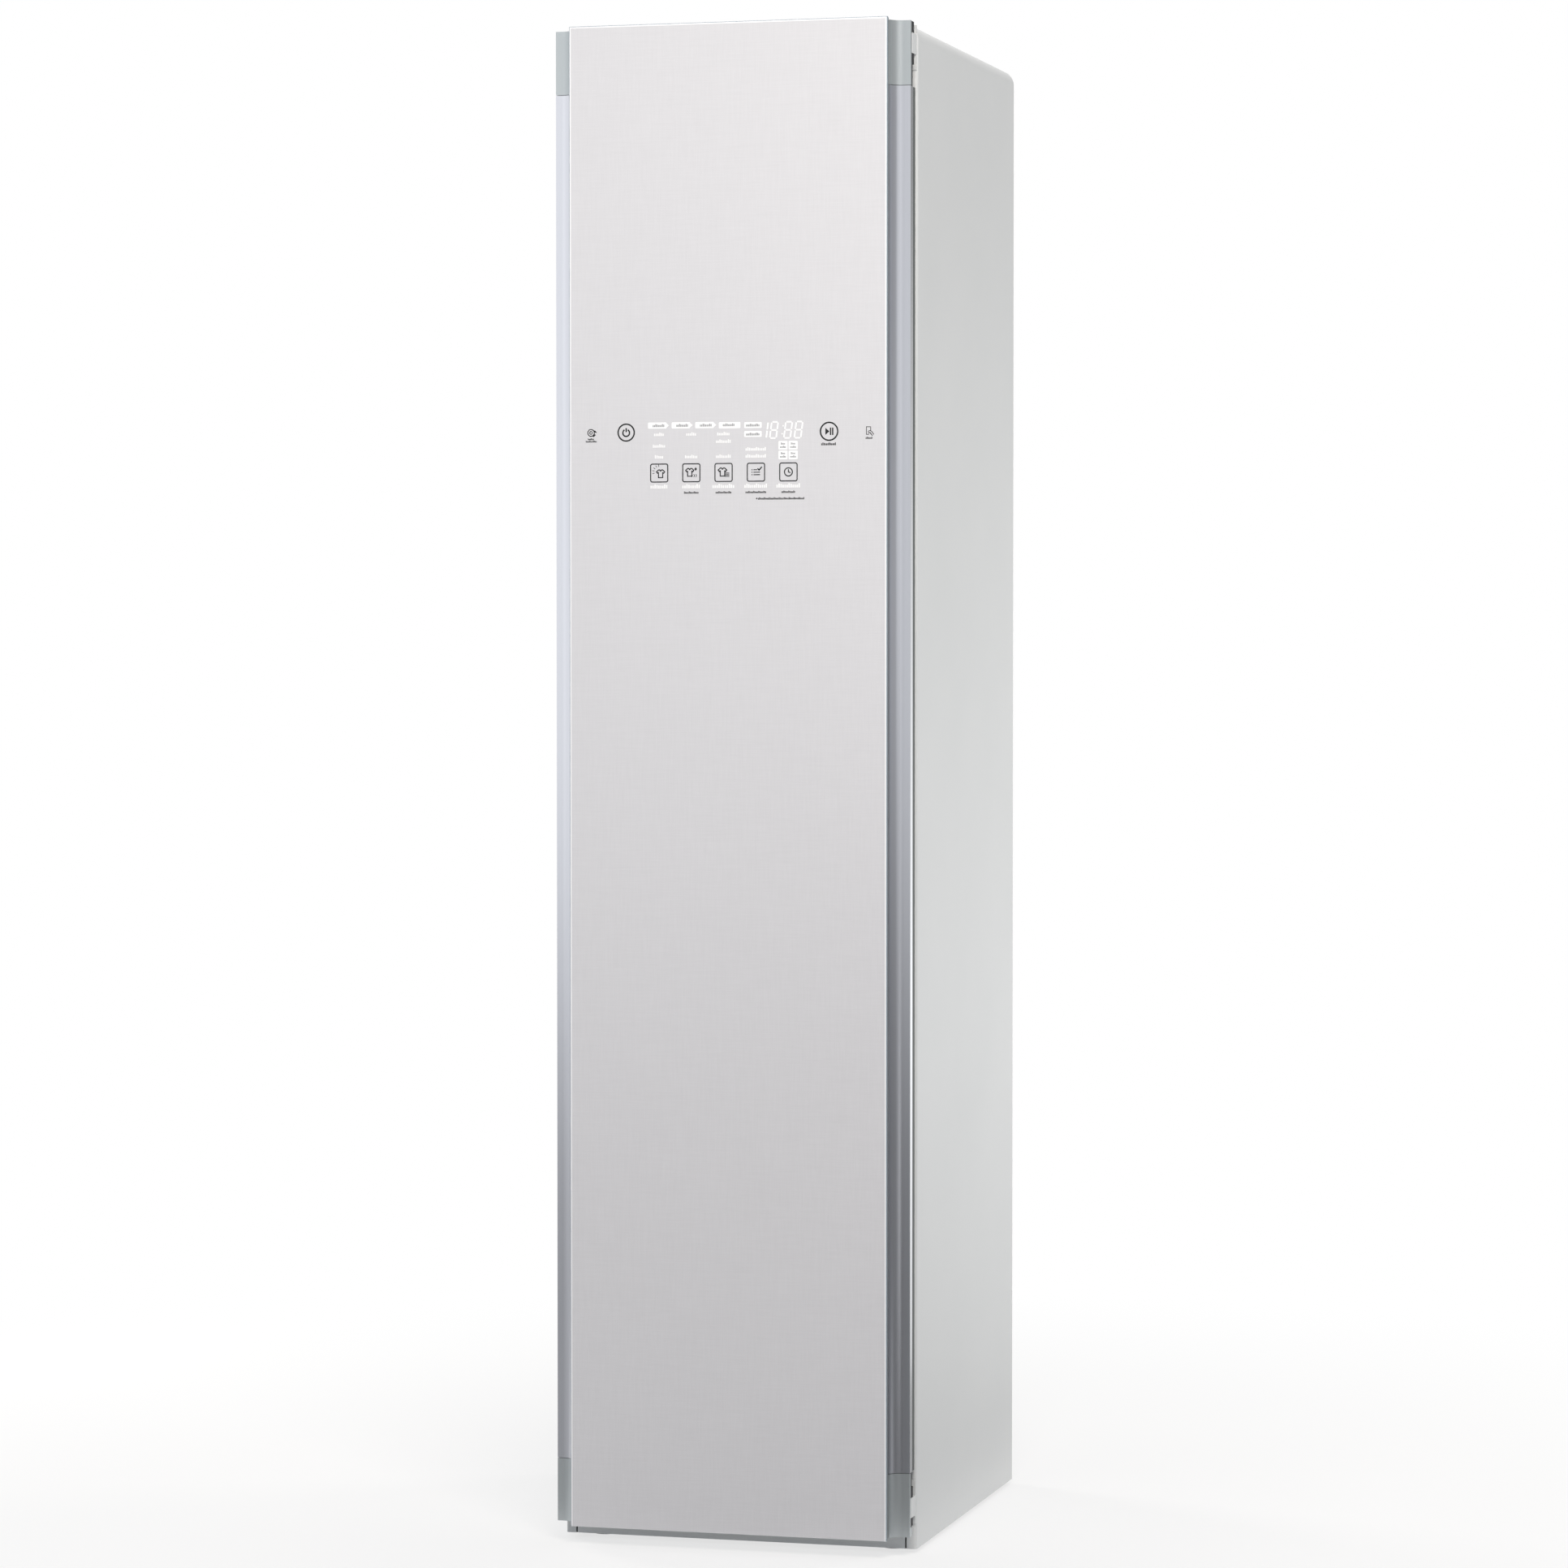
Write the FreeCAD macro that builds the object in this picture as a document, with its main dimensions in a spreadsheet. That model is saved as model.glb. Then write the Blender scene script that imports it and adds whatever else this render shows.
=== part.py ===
"""Clothes care steam cabinet: a free-standing closet that steams, shakes, presses and dries clothes.

Frame: +Z up, the glass door faces -Y, the door hinge is on the +X side.
Origin: centre of the footprint, on the floor.  Millimetres.
"""
import FreeCAD, Part
import math
import os
import re
import Sketcher

Vector = FreeCAD.Vector
doc = FreeCAD.newDocument("SteamCabinet")
sizes = doc.addObject("Spreadsheet::Sheet", "Sizes")
pieces = {}


# ---------------------------------------------------------------- driving sizes

SIZES = {
    # outer case
    "case_width": 445,
    "case_height": 1842.5,
    "body_depth": 528.5,
    "skin": 1.5,
    "top_radius": 20,
    "front_radius": 3.5,
    "front_flange": 26,
    "foot_flange": 12.5,
    "rear_flange": 14,
    "cover_sheet": 1.2,
    "screw_head": 1.8,
    "screw_hole": 2.2,
    "kick_height": 30,
    "kick_seam": 2,
    "kick_sheet": 2,
    # levelling feet and base
    "foot_height": 5.5,
    "foot_radius": 18,
    "stem_radius": 5,
    "stem_length": 28,
    "foot_inset_side": 38,
    "foot_inset_end": 45,
    "base_wall": 3,
    "base_height": 32,
    "boss_radius": 12,
    # clearances
    "running_gap": 0.05,
    "seat_gap": 0.3,
    "free_gap": 1,
    # door
    "door_stack": 56.5,
    "grip_width": 23.5,
    "glass_thick": 4,
    "glass_rise": 2,
    "door_clear": 18,
    "frame_depth": 6,
    "frame_inset": 0.8,
    "lip_setback": 21.5,
    "lip_depth": 12,
    "lip_flat": 8,
    "grip_wall": 2.2,
    "grip_tab": 10,
    "cap_height": 77,
    "cap_seam": 0.6,
    "cap_toe": 11,
    "cap_drop": 3,
    "cap_raise": 2.5,
    "liner_inset": 16.7,
    "door_wall": 3,
    "gasket_room": 9,
    "gasket_width": 10,
    "gasket_inset": 1.5,
    "board_low": 1254,
    "board_high": 1384,
    "board_margin": 13,
    "board_thick": 1.6,
    "board_pocket": 4.5,
    # door hinges
    "pin_radius": 4,
    "pin_inset_side": 8.5,
    "pin_room": 10.5,
    "knuckle_radius": 7.7,
    "knuckle_height": 24.4,
    "knuckle_drop": 37.7,
    "knuckle_lift": 21.3,
    "hinge_leaf": 2.5,
    "hinge_reach": 13,
    "lip_skin": 4.5,
    # steaming chamber
    "side_room": 29.5,
    "chamber_floor": 400,
    "head_room": 103,
    "rear_room": 70.5,
    "liner_wall": 3,
    "liner_flange": 14,
    "liner_radius": 12,
    "insulation": 18,
    # trouser press
    "press_width": 320,
    "press_low": 690,
    "press_high": 1430,
    "press_thick": 16,
    "press_space": 6,
    "backing_thick": 5,
    "press_pin_radius": 3,
    # shaking hanger bar and its drive
    "bar_drop": 48,
    "bar_radius": 9,
    "bar_overhang": 50,
    "bar_travel": 18,
    "post_radius": 5,
    "post_spacing": 220,
    "rod_radius": 5,
    "rod_spacing": 120,
    "rod_rise": 17,
    "carriage_sheet": 4,
    "drive_sheet": 2,
    "crank_offset": 60,
    "big_pulley": 45,
    "small_pulley": 15,
    "pulley_centres": 118,
    "pulley_height": 12,
    "belt_thick": 2.5,
    "belt_width": 7,
    "link_length": 75,
    "link_thick": 4,
    "crank_pin": 4,
    "hanger_half": 190,
    "hanger_neck": 12,
    "hanger_rise": 78,
    "hanger_drop": 124,
    # shelf, filter, cartridge and tanks
    "shelf_height": 560,
    "shelf_thick": 8,
    "shelf_front": 104.5,
    "shelf_back": 17.5,
    "bay_depth": 150,
    "bay_low": 84,
    "bay_roof": 56,
    "bay_margin": 38.5,
    "bay_web": 8,
    "tank_gap": 1.5,
    "tank_setback": 16,
    "tank_round": 10,
    "filter_width": 150,
    "filter_depth": 70,
    "filter_drop": 34,
    "scent_width": 110,
    # air circuit and steam supply
    "coil_width": 160,
    "coil_height": 190,
    "coil_thick": 44,
    "coil_gap": 12,
    "fin_sheet": 0.8,
    "flat_tube": 2.4,
    "tube_radius": 4,
    "wheel_radius": 62,
    "wheel_width": 44,
    "blade_count": 20,
    "shell_radius": 58,
    "shell_height": 150,
    "boiler_length": 140,
    "boiler_width": 84,
    "boiler_height": 110,
}

for row, (alias, value) in enumerate(SIZES.items(), start=1):
    sizes.set(f"A{row}", alias)
    sizes.set(f"B{row}", str(value))
    sizes.setAlias(f"B{row}", alias)
doc.recompute()


def bound(text):
    """Turn a size formula into an expression on the sheet's aliases."""
    def named(match):
        word = match.group(0)
        return f"Sizes.{word}" if word in SIZES else word
    return re.sub(r"[a-z_]+", named, str(text))


def number(text):
    """Value of a size formula now."""
    return float(sizes.evalExpression(bound(text)))


# Main planes, as formulas on the sizes.
FRONT = "(-(door_stack + body_depth) / 2)"
CASE_FRONT = "((door_stack - body_depth) / 2)"
CASE_BACK = "((door_stack + body_depth) / 2)"
SIDE = "(case_width / 2)"
BOTTOM = "foot_height"
TOP = "(foot_height + case_height)"
COVER_FACE = f"({CASE_BACK} - screw_head)"
SHELL_BACK = f"({COVER_FACE} - cover_sheet)"
GLASS_SIDE = f"({SIDE} - grip_width)"
GLASS_TOP = f"({TOP} + glass_rise)"
GLASS_BOTTOM = "(foot_height + door_clear)"
FRAME_BACK = f"({FRONT} + glass_thick + frame_depth)"
GRIP_FRONT = f"({FRAME_BACK} + seat_gap)"
LIP_FRONT = f"({FRONT} + lip_setback)"
LIP_BACK = f"({LIP_FRONT} + lip_depth)"
LIP_LOW = f"({GLASS_BOTTOM} + cap_raise)"
LIP_HIGH = f"({GLASS_TOP} - cap_drop)"
DOOR_BACK = f"({CASE_FRONT} - gasket_room)"
BASE_FLOOR = f"({BOTTOM} + base_wall)"
PIN_X = f"({SIDE} - pin_inset_side)"
PIN_Y = f"({LIP_FRONT} + lip_skin + pin_room)"
UPPER_KNUCKLE = f"({LIP_HIGH} - knuckle_drop)"
LOWER_KNUCKLE = f"({LIP_LOW} + knuckle_lift)"


# ---------------------------------------------------------------- drawing helpers

def check_sign(value):
    return 1 if value >= 0 else -1


def origin_feature(body, role):
    return [item for item in body.Origin.OriginFeatures if item.Role == role][0]


def new_body(label):
    body = doc.addObject("PartDesign::Body", label)
    body.Label = label
    pieces[label] = body
    return body


def place(thing, x="0", y="0", z="0"):
    for axis, formula in (("x", x), ("y", y), ("z", z)):
        thing.setExpression(f"Placement.Base.{axis}", bound(formula))


def new_sketch(body, plane, offset):
    sketch = body.newObject("Sketcher::SketchObject", "Outline")
    sketch.AttachmentSupport = [(origin_feature(body, f"{plane}_Plane"), "")]
    sketch.MapMode = "FlatFace"
    sketch.setExpression("AttachmentOffset.Base.z", bound(offset))
    return sketch


def pin_point(sketch, geometry, which, x, y):
    """Tie one point of the sketch to two size formulas."""
    for kind, formula, axis in (("DistanceX", x, -2), ("DistanceY", y, -1)):
        if abs(number(formula)) < 1e-9:
            sketch.addConstraint(Sketcher.Constraint("PointOnObject", geometry, which, axis))
        else:
            rule = Sketcher.Constraint(kind, -1, 1, geometry, which, number(formula))
            index = sketch.addConstraint(rule)
            sketch.setExpression(f"Constraints[{index}]", bound(formula))


def arc_between(start, end, radius):
    """Minor arc from start to end: positive radius turns left, negative turns right."""
    middle = (start + end) / 2
    chord = end - start
    half = chord.Length / 2
    rise = math.sqrt(max(radius * radius - half * half, 0.0))
    left = Vector(-chord.y, chord.x, 0).normalize()
    centre = middle + left * rise * check_sign(radius)
    circle = Part.Circle(centre, Vector(0, 0, 1), abs(radius))
    first, last = (start, end) if radius > 0 else (end, start)
    turn_first = math.atan2(first.y - centre.y, first.x - centre.x)
    turn_last = math.atan2(last.y - centre.y, last.x - centre.x)
    if turn_last < turn_first:
        turn_last += 2 * math.pi
    return Part.ArcOfCircle(circle, turn_first, turn_last)


def outline(body, plane, offset, points):
    """Closed outline. A point is (x, y), or (x, y, radius) where an arc arrives at it."""
    sketch = new_sketch(body, plane, offset)
    spots = [Vector(number(point[0]), number(point[1]), 0) for point in points]
    count = len(points)
    starts = []
    for index in range(count):
        after = (index + 1) % count
        if len(points[after]) == 3:
            radius = number(points[after][2])
            edge = sketch.addGeometry(arc_between(spots[index], spots[after], radius), False)
            starts.append((1, 2) if radius > 0 else (2, 1))
            rule = Sketcher.Constraint("Radius", edge, abs(radius))
            place_of = sketch.addConstraint(rule)
            sketch.setExpression(f"Constraints[{place_of}]", bound(f"abs({points[after][2]})"))
        else:
            sketch.addGeometry(Part.LineSegment(spots[index], spots[after]), False)
            starts.append((1, 2))
    for index in range(count):
        after = (index + 1) % count
        joint = Sketcher.Constraint("Coincident", index, starts[index][1], after, starts[after][0])
        sketch.addConstraint(joint)
    for index, point in enumerate(points):
        pin_point(sketch, index, starts[index][0], point[0], point[1])
    return sketch


def rectangle(body, plane, offset, left, right, low, high):
    points = [(left, low), (right, low), (right, high), (left, high)]
    return outline(body, plane, offset, points)


def circles(body, plane, offset, centres, radius):
    sketch = new_sketch(body, plane, offset)
    for x, y in centres:
        spot = Vector(number(x), number(y), 0)
        index = sketch.addGeometry(Part.Circle(spot, Vector(0, 0, 1), number(radius)), False)
        pin_point(sketch, index, 3, x, y)
        rule = sketch.addConstraint(Sketcher.Constraint("Radius", index, number(radius)))
        sketch.setExpression(f"Constraints[{rule}]", bound(radius))
    return sketch


def pad(body, sketch, length, back=False):
    feature = body.newObject("PartDesign::Pad", "Pad")
    feature.Profile = sketch
    feature.setExpression("Length", bound(length))
    feature.Reversed = back
    doc.recompute()
    return feature


def cut(body, sketch, length, back=False):
    """Pocket. It must take material away, or its direction is wrong."""
    before = body.Shape.Volume
    feature = body.newObject("PartDesign::Pocket", "Pocket")
    feature.Profile = sketch
    feature.setExpression("Length", bound(length))
    feature.Reversed = back
    doc.recompute()
    if not body.Shape.Volume < before - 1e-6:
        raise ValueError(f"a pocket in {body.Label} removes nothing")
    return feature


def turn(body, sketch, axis):
    feature = body.newObject("PartDesign::Revolution", "Revolution")
    feature.Profile = sketch
    feature.ReferenceAxis = (origin_feature(body, f"{axis}_Axis"), [""])
    feature.Angle = 360
    doc.recompute()
    return feature


def repeat(body, feature, axis, length, count):
    pattern = body.newObject("PartDesign::LinearPattern", "Row")
    pattern.Originals = [feature]
    pattern.Direction = (origin_feature(body, f"{axis}_Axis"), [""])
    pattern.setExpression("Length", bound(length))
    pattern.setExpression("Occurrences", bound(count))
    body.Tip = pattern
    doc.recompute()
    return pattern


def round_edges(body, radius, chosen):
    """Fillet every edge of the body that the test picks."""
    shape = body.Shape
    edges = [f"Edge{n + 1}" for n, edge in enumerate(shape.Edges) if chosen(edge)]
    if not edges:
        raise ValueError(f"no edge to round on {body.Label}")
    base = body.Tip
    feature = body.newObject("PartDesign::Fillet", "Fillet")
    feature.Base = (base, edges)
    feature.setExpression("Radius", bound(radius))
    doc.recompute()
    return feature


def runs_along(edge, axis):
    """True for a straight edge parallel to the axis."""
    if not isinstance(edge.Curve, (Part.Line, Part.LineSegment)):
        return False
    ends = edge.Vertexes[-1].Point - edge.Vertexes[0].Point
    return abs(getattr(ends, axis)) > 0.999 * ends.Length


def lies_at(edge, axis, value):
    """True when the whole edge lies in the plane axis = value."""
    return all(abs(getattr(spot.Point, axis) - value) < 0.01 for spot in edge.Vertexes)


def box(x_low, x_high, y_low, y_high, z_low, z_high, label="Block"):
    block = doc.addObject("Part::Box", label)
    block.setExpression("Length", bound(f"({x_high}) - ({x_low})"))
    block.setExpression("Width", bound(f"({y_high}) - ({y_low})"))
    block.setExpression("Height", bound(f"({z_high}) - ({z_low})"))
    place(block, x_low, y_low, z_low)
    return block


TURNS = {
    "X": FreeCAD.Rotation(Vector(0, 1, 0), 90),
    "Y": FreeCAD.Rotation(Vector(1, 0, 0), -90),
    "Z": FreeCAD.Rotation(),
}


def rod(axis, x, y, z, radius, length, label="Rod"):
    """Cylinder that starts at the given point and runs along +axis."""
    bar = doc.addObject("Part::Cylinder", label)
    bar.setExpression("Radius", bound(radius))
    bar.setExpression("Height", bound(length))
    bar.Placement = FreeCAD.Placement(Vector(), TURNS[axis])
    place(bar, x, y, z)
    return bar


def joined(shapes, label=None):
    fused = doc.addObject("Part::MultiFuse", label or "Joined")
    fused.Shapes = shapes
    fused.Refine = True
    if label:
        fused.Label = label
        pieces[label] = fused
    return fused


def less(base, tool, label=None):
    rest = doc.addObject("Part::Cut", label or "Rest")
    rest.Base = base
    rest.Tool = tool
    rest.Refine = True
    if label:
        rest.Label = label
        pieces[label] = rest
    return rest


def keep(thing, label):
    thing.Label = label
    pieces[label] = thing
    return thing


# ---------------------------------------------------------------- cabinet shell

def make_outer_case():
    """One bent sheet: two sides and top, folded in at the front and at the back."""
    body = new_body("outer_case")
    corner = "top_radius"
    skin_corner = "(top_radius - skin)"

    def arch(offset, inset, low, radius):
        side = f"({SIDE} - {inset})"
        top = f"({TOP} - {inset})"
        return outline(body, "XZ", offset, [
            (f"-{side}", low), (side, low),
            (side, f"{top} - {radius}"), (f"{side} - {radius}", top, radius),
            (f"-({side} - {radius})", top), (f"-{side}", f"{top} - {radius}", radius)])

    pad(body, arch(f"-{SHELL_BACK}", "0", BOTTOM, corner), f"{SHELL_BACK} - {CASE_FRONT}")
    front = number(CASE_FRONT)
    floor = number(BOTTOM)
    round_edges(body, "front_radius",
                lambda edge: lies_at(edge, "y", front) and not lies_at(edge, "z", floor))
    inside = arch(f"-({SHELL_BACK} - skin)", "skin", f"({BOTTOM} - 1)", skin_corner)
    cut(body, inside, f"{SHELL_BACK} - {CASE_FRONT} - 2 * skin", True)
    opening = f"({SIDE} - front_flange)"
    kick = f"({SIDE} - foot_flange)"
    step = f"({BOTTOM} + kick_height)"
    lintel = f"({TOP} - front_flange)"
    mouth = outline(body, "XZ", f"-{CASE_FRONT}", [
        (f"-{kick}", f"{BOTTOM} - 1"), (kick, f"{BOTTOM} - 1"), (kick, step),
        (opening, step), (opening, lintel), (f"-{opening}", lintel),
        (f"-{opening}", step), (f"-{kick}", step)])
    cut(body, mouth, "skin")
    back = f"({SIDE} - rear_flange)"
    rear = rectangle(body, "XZ", f"-({SHELL_BACK} - skin)", f"-{back}", back,
                     f"{BOTTOM} - 1", f"{TOP} - rear_flange")
    cut(body, rear, "skin")
    holes = circles(body, "XZ", f"-({SHELL_BACK} + 1)", rear_screw_spots(), "screw_hole")
    cut(body, holes, "skin + 2", True)


def rear_screw_spots():
    """Screws of the rear cover: rows along both sides and along the top."""
    x = f"({SIDE} - rear_flange / 2)"
    rise = "(case_height / 5)"
    spots = []
    for step in range(5):
        z = f"({BOTTOM} + {rise} * ({step} + 0.5))"
        spots.append((f"-{x}", z))
        spots.append((x, z))
    return spots


def make_rear_cover():
    """Steel sheet with two pressed stiffening ribs, air slots low down and a cord hole."""
    body = new_body("rear_cover")
    side = f"({SIDE} - free_gap)"
    low = f"({BOTTOM} + free_gap)"
    high = f"({TOP} - free_gap)"
    plate = outline(body, "XZ", f"-{COVER_FACE}", [
        (f"-{side}", low), (side, low), (side, f"{high} - top_radius"),
        (f"{side} - top_radius", high, "top_radius"), (f"-({side} - top_radius)", high),
        (f"-{side}", f"{high} - top_radius", "top_radius")])
    pad(body, plate, "cover_sheet")
    for shift in ("-1", "1"):
        rib = rectangle(body, "XZ", f"-{COVER_FACE}", f"{shift} * case_width / 4 - 22",
                        f"{shift} * case_width / 4 + 22", f"{BOTTOM} + 460", f"{TOP} - 120")
        pad(body, rib, "screw_head - 0.3", True)
    slot = rectangle(body, "XZ", f"-{CASE_BACK}", "-150", "-30", f"{BOTTOM} + 90", f"{BOTTOM} + 96")
    first = cut(body, slot, "3 * cover_sheet + screw_head", True)
    repeat(body, first, "Z", "13 * 18", "14")
    holes = circles(body, "XZ", f"-{CASE_BACK}", rear_screw_spots(), "screw_hole")
    cut(body, holes, "3 * cover_sheet + screw_head", True)
    gland = circles(body, "XZ", f"-{CASE_BACK}", [("150", f"{BOTTOM} + 60")], "13")
    cut(body, gland, "3 * cover_sheet + screw_head", True)


def make_case_screws():
    """Pan-head screws of the rear cover, one node of separate solids."""
    parts = []
    for x, z in rear_screw_spots():
        head = rod("Y", x, COVER_FACE, z, "4", "screw_head")
        shank = rod("Y", x, f"({SHELL_BACK} - skin - 6)", z, "screw_hole - 0.2",
                    "6 + skin + cover_sheet")
        parts.append(joined([head, shank]))
    joined(parts, "case_screws")


def foot_spots():
    x = f"({SIDE} - foot_inset_side)"
    front = f"({CASE_FRONT} + foot_inset_end)"
    back = f"({CASE_BACK} - foot_inset_end)"
    return {"front_left": (f"-{x}", front), "front_right": (x, front),
            "rear_left": (f"-{x}", back), "rear_right": (x, back)}


def make_base_pan():
    """Moulded tray under the machine: floor, rim, cross ribs and threaded foot bosses."""
    body = new_body("base_pan")
    side = f"({SIDE} - skin - seat_gap)"
    front = f"({CASE_FRONT} + kick_sheet + seat_gap)"
    back = f"({SHELL_BACK} - skin - seat_gap)"
    top = f"({BOTTOM} + base_height)"
    pad(body, rectangle(body, "XY", BOTTOM, f"-{side}", side, front, back), "base_height")
    round_edges(body, "6", lambda edge: runs_along(edge, "z"))
    hollow = rectangle(body, "XY", top, f"-({side} - base_wall)", f"{side} - base_wall",
                       f"{front} + base_wall", f"{back} - base_wall")
    cut(body, hollow, "base_height - base_wall")
    spots = list(foot_spots().values())
    pad(body, circles(body, "XY", BOTTOM, spots, "boss_radius"), "base_height")
    for shift in ("-8", "8"):
        rib = rectangle(body, "XY", BOTTOM, f"{shift} - 1.5", f"{shift} + 1.5",
                        f"{front} + 1", f"{back} - 1")
        pad(body, rib, "14")
    cut(body, circles(body, "XY", f"{top} + 1", spots, "stem_radius"), "base_height + 2")


def make_feet():
    """Four levelling feet: a round pad on a stem that screws into the tray."""
    for corner, (x, y) in foot_spots().items():
        sole = rod("Z", x, y, "0", "foot_radius", "foot_height - seat_gap")
        stem = rod("Z", x, y, "0", "stem_radius - running_gap", "foot_height + stem_length")
        joined([sole, stem], f"foot_{corner}")


def make_kick_plate():
    """Angle strip that closes the front under the door, flush with the case front."""
    body = new_body("kick_plate")
    half = f"({SIDE} - foot_flange - kick_seam)"
    top = f"({BOTTOM} + kick_height - seat_gap)"
    front = CASE_FRONT
    ledge = f"({BOTTOM} + base_height + seat_gap)"
    profile = outline(body, "YZ", f"-{half}", [
        (front, BOTTOM), (f"{front} + kick_sheet", BOTTOM),
        (f"{front} + kick_sheet", top), (front, top)])
    pad(body, profile, f"2 * {half}")
    tabs = rectangle(body, "XY", ledge, "-120", "120", f"{front} + kick_sheet - 1", f"{front} + 14")
    pad(body, tabs, "kick_sheet")
    riser = rectangle(body, "XZ", f"-({front} + kick_sheet)", "-120", "120", f"{top} - 4",
                      f"{ledge} + kick_sheet")
    pad(body, riser, "kick_sheet")
    round_edges(body, "0.8", lambda edge: runs_along(edge, "x") and lies_at(edge, "y", number(front))
                and lies_at(edge, "z", number(BOTTOM)))


make_outer_case()
make_rear_cover()
make_case_screws()
make_base_pan()
make_feet()
make_kick_plate()


# ---------------------------------------------------------------- steaming chamber

CHAMBER_SIDE = f"({SIDE} - side_room)"
CHAMBER_TOP = f"({TOP} - head_room)"
LINER_FRONT = f"({CASE_FRONT} + skin)"
CHAMBER_BACK = f"({SHELL_BACK} - skin - rear_room)"
CHAMBER_DEPTH = f"({CHAMBER_BACK} - {LINER_FRONT})"
LINER_TOP = f"({CHAMBER_TOP} + liner_wall)"
FLOOR_UNDER = "(chamber_floor - liner_wall)"
FILTER_Y = f"({LINER_FRONT} + 26)"
SCENT_X = "-150"
FILTER_X = "16"
GRILLE_BACK = f"({CHAMBER_BACK} - 27.5)"
GRILLE_FRONT = f"({GRILLE_BACK} - 150)"
SHELF_FRONT = f"({LINER_FRONT} + shelf_front)"
SHELF_BACK = f"({CHAMBER_BACK} - shelf_back)"
GRILLE_SIDE = "150"


def make_chamber_liner():
    """Moulded tub of the chamber: rounded corners, front flange, ports in floor and ceiling."""
    body = new_body("chamber_liner")
    side = f"({CHAMBER_SIDE} + liner_wall)"
    shell = rectangle(body, "XZ", f"-({CHAMBER_BACK} + liner_wall)", f"-{side}", side,
                      FLOOR_UNDER, LINER_TOP)
    pad(body, shell, f"{CHAMBER_DEPTH} + liner_wall")
    round_edges(body, "liner_radius", lambda edge: runs_along(edge, "y"))
    rim = rectangle(body, "XZ", f"-({LINER_FRONT} + liner_wall)", f"-({side} + liner_flange)",
                    f"{side} + liner_flange", f"{FLOOR_UNDER} - liner_flange",
                    f"{LINER_TOP} + liner_flange")
    pad(body, rim, "liner_wall")
    inner = "(liner_radius - liner_wall)"
    hollow = outline(body, "XZ", f"-{LINER_FRONT}", [
        (f"-({CHAMBER_SIDE} - {inner})", "chamber_floor", inner),
        (f"{CHAMBER_SIDE} - {inner}", "chamber_floor"),
        (CHAMBER_SIDE, f"chamber_floor + {inner}", inner),
        (CHAMBER_SIDE, f"{CHAMBER_TOP} - {inner}"),
        (f"{CHAMBER_SIDE} - {inner}", CHAMBER_TOP, inner),
        (f"-({CHAMBER_SIDE} - {inner})", CHAMBER_TOP),
        (f"-{CHAMBER_SIDE}", f"{CHAMBER_TOP} - {inner}", inner),
        (f"-{CHAMBER_SIDE}", f"chamber_floor + {inner}")])
    cut(body, hollow, CHAMBER_DEPTH)
    port = "(liner_wall + 2)"
    under = f"({FLOOR_UNDER} - 1)"
    for left, right, front, back in (
            (f"{FILTER_X} - seat_gap", f"{FILTER_X} + filter_width + seat_gap",
             f"{FILTER_Y} - seat_gap", f"{FILTER_Y} + filter_depth + seat_gap"),
            (f"{SCENT_X} - seat_gap", f"{SCENT_X} + scent_width + seat_gap",
             f"{FILTER_Y} - seat_gap", f"{FILTER_Y} + filter_depth + seat_gap"),
            (f"-{GRILLE_SIDE}", GRILLE_SIDE, GRILLE_FRONT, GRILLE_BACK)):
        cut(body, rectangle(body, "XY", under, left, right, front, back), port, True)
    for shift in ("-1", "1"):
        centre = f"({shift} * post_spacing / 2)"
        reach = "(bar_travel + post_radius + 2)"
        slot = rectangle(body, "XY", f"({CHAMBER_TOP} - 1)", f"{centre} - {reach}",
                         f"{centre} + {reach}", "-(post_radius + 2)", "post_radius + 2")
        cut(body, slot, port, True)


def make_insulation():
    """Foam boards between liner and case: left, right and behind the chamber."""
    near = f"({CHAMBER_SIDE} + liner_wall + seat_gap)"
    front = f"({LINER_FRONT} + liner_wall + seat_gap)"
    back = f"({CHAMBER_BACK} + liner_wall)"
    left = box(f"-({near} + insulation)", f"-{near}", front, back, FLOOR_UNDER, LINER_TOP)
    right = box(near, f"{near} + insulation", front, back, FLOOR_UNDER, LINER_TOP)
    rear = box(f"-{near}", near, f"{back} + seat_gap", f"{back} + seat_gap + insulation",
               FLOOR_UNDER, LINER_TOP)
    joined([left, right, rear], "insulation_panels")


def make_floor_grille():
    """Slotted plate over the warm-air outlet in the chamber floor."""
    body = new_body("floor_grille")
    plate = rectangle(body, "XY", "chamber_floor", f"-({GRILLE_SIDE} + 8)", f"{GRILLE_SIDE} + 8",
                      f"{GRILLE_FRONT} - 8", f"{GRILLE_BACK} + 8")
    pad(body, plate, "3")
    round_edges(body, "5", lambda edge: runs_along(edge, "z"))
    spigot = rectangle(body, "XY", FLOOR_UNDER, f"-({GRILLE_SIDE} - free_gap)",
                       f"{GRILLE_SIDE} - free_gap", f"{GRILLE_FRONT} + free_gap",
                       f"{GRILLE_BACK} - free_gap")
    pad(body, spigot, "liner_wall")
    slot = rectangle(body, "XY", f"({FLOOR_UNDER} - 1)", "-132", "-120",
                     f"{GRILLE_FRONT} + 14", f"{GRILLE_BACK} - 14")
    first = cut(body, slot, "liner_wall + 6", True)
    repeat(body, first, "X", "12 * 21", "13")


def make_shelf_hooks():
    """Four pegs on the chamber walls that carry the shelf."""
    parts = []
    for shift in ("-1", "1"):
        for y in (f"({SHELF_FRONT} + 60)", f"({SHELF_BACK} - 70)"):
            x = f"({shift} * ({CHAMBER_SIDE} - 5) - 5)"
            parts.append(box(x, f"{x} + 10", f"{y} - 12", f"{y} + 12",
                             "shelf_height - 8", "shelf_height - seat_gap"))
    joined(parts, "shelf_hooks")


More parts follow.
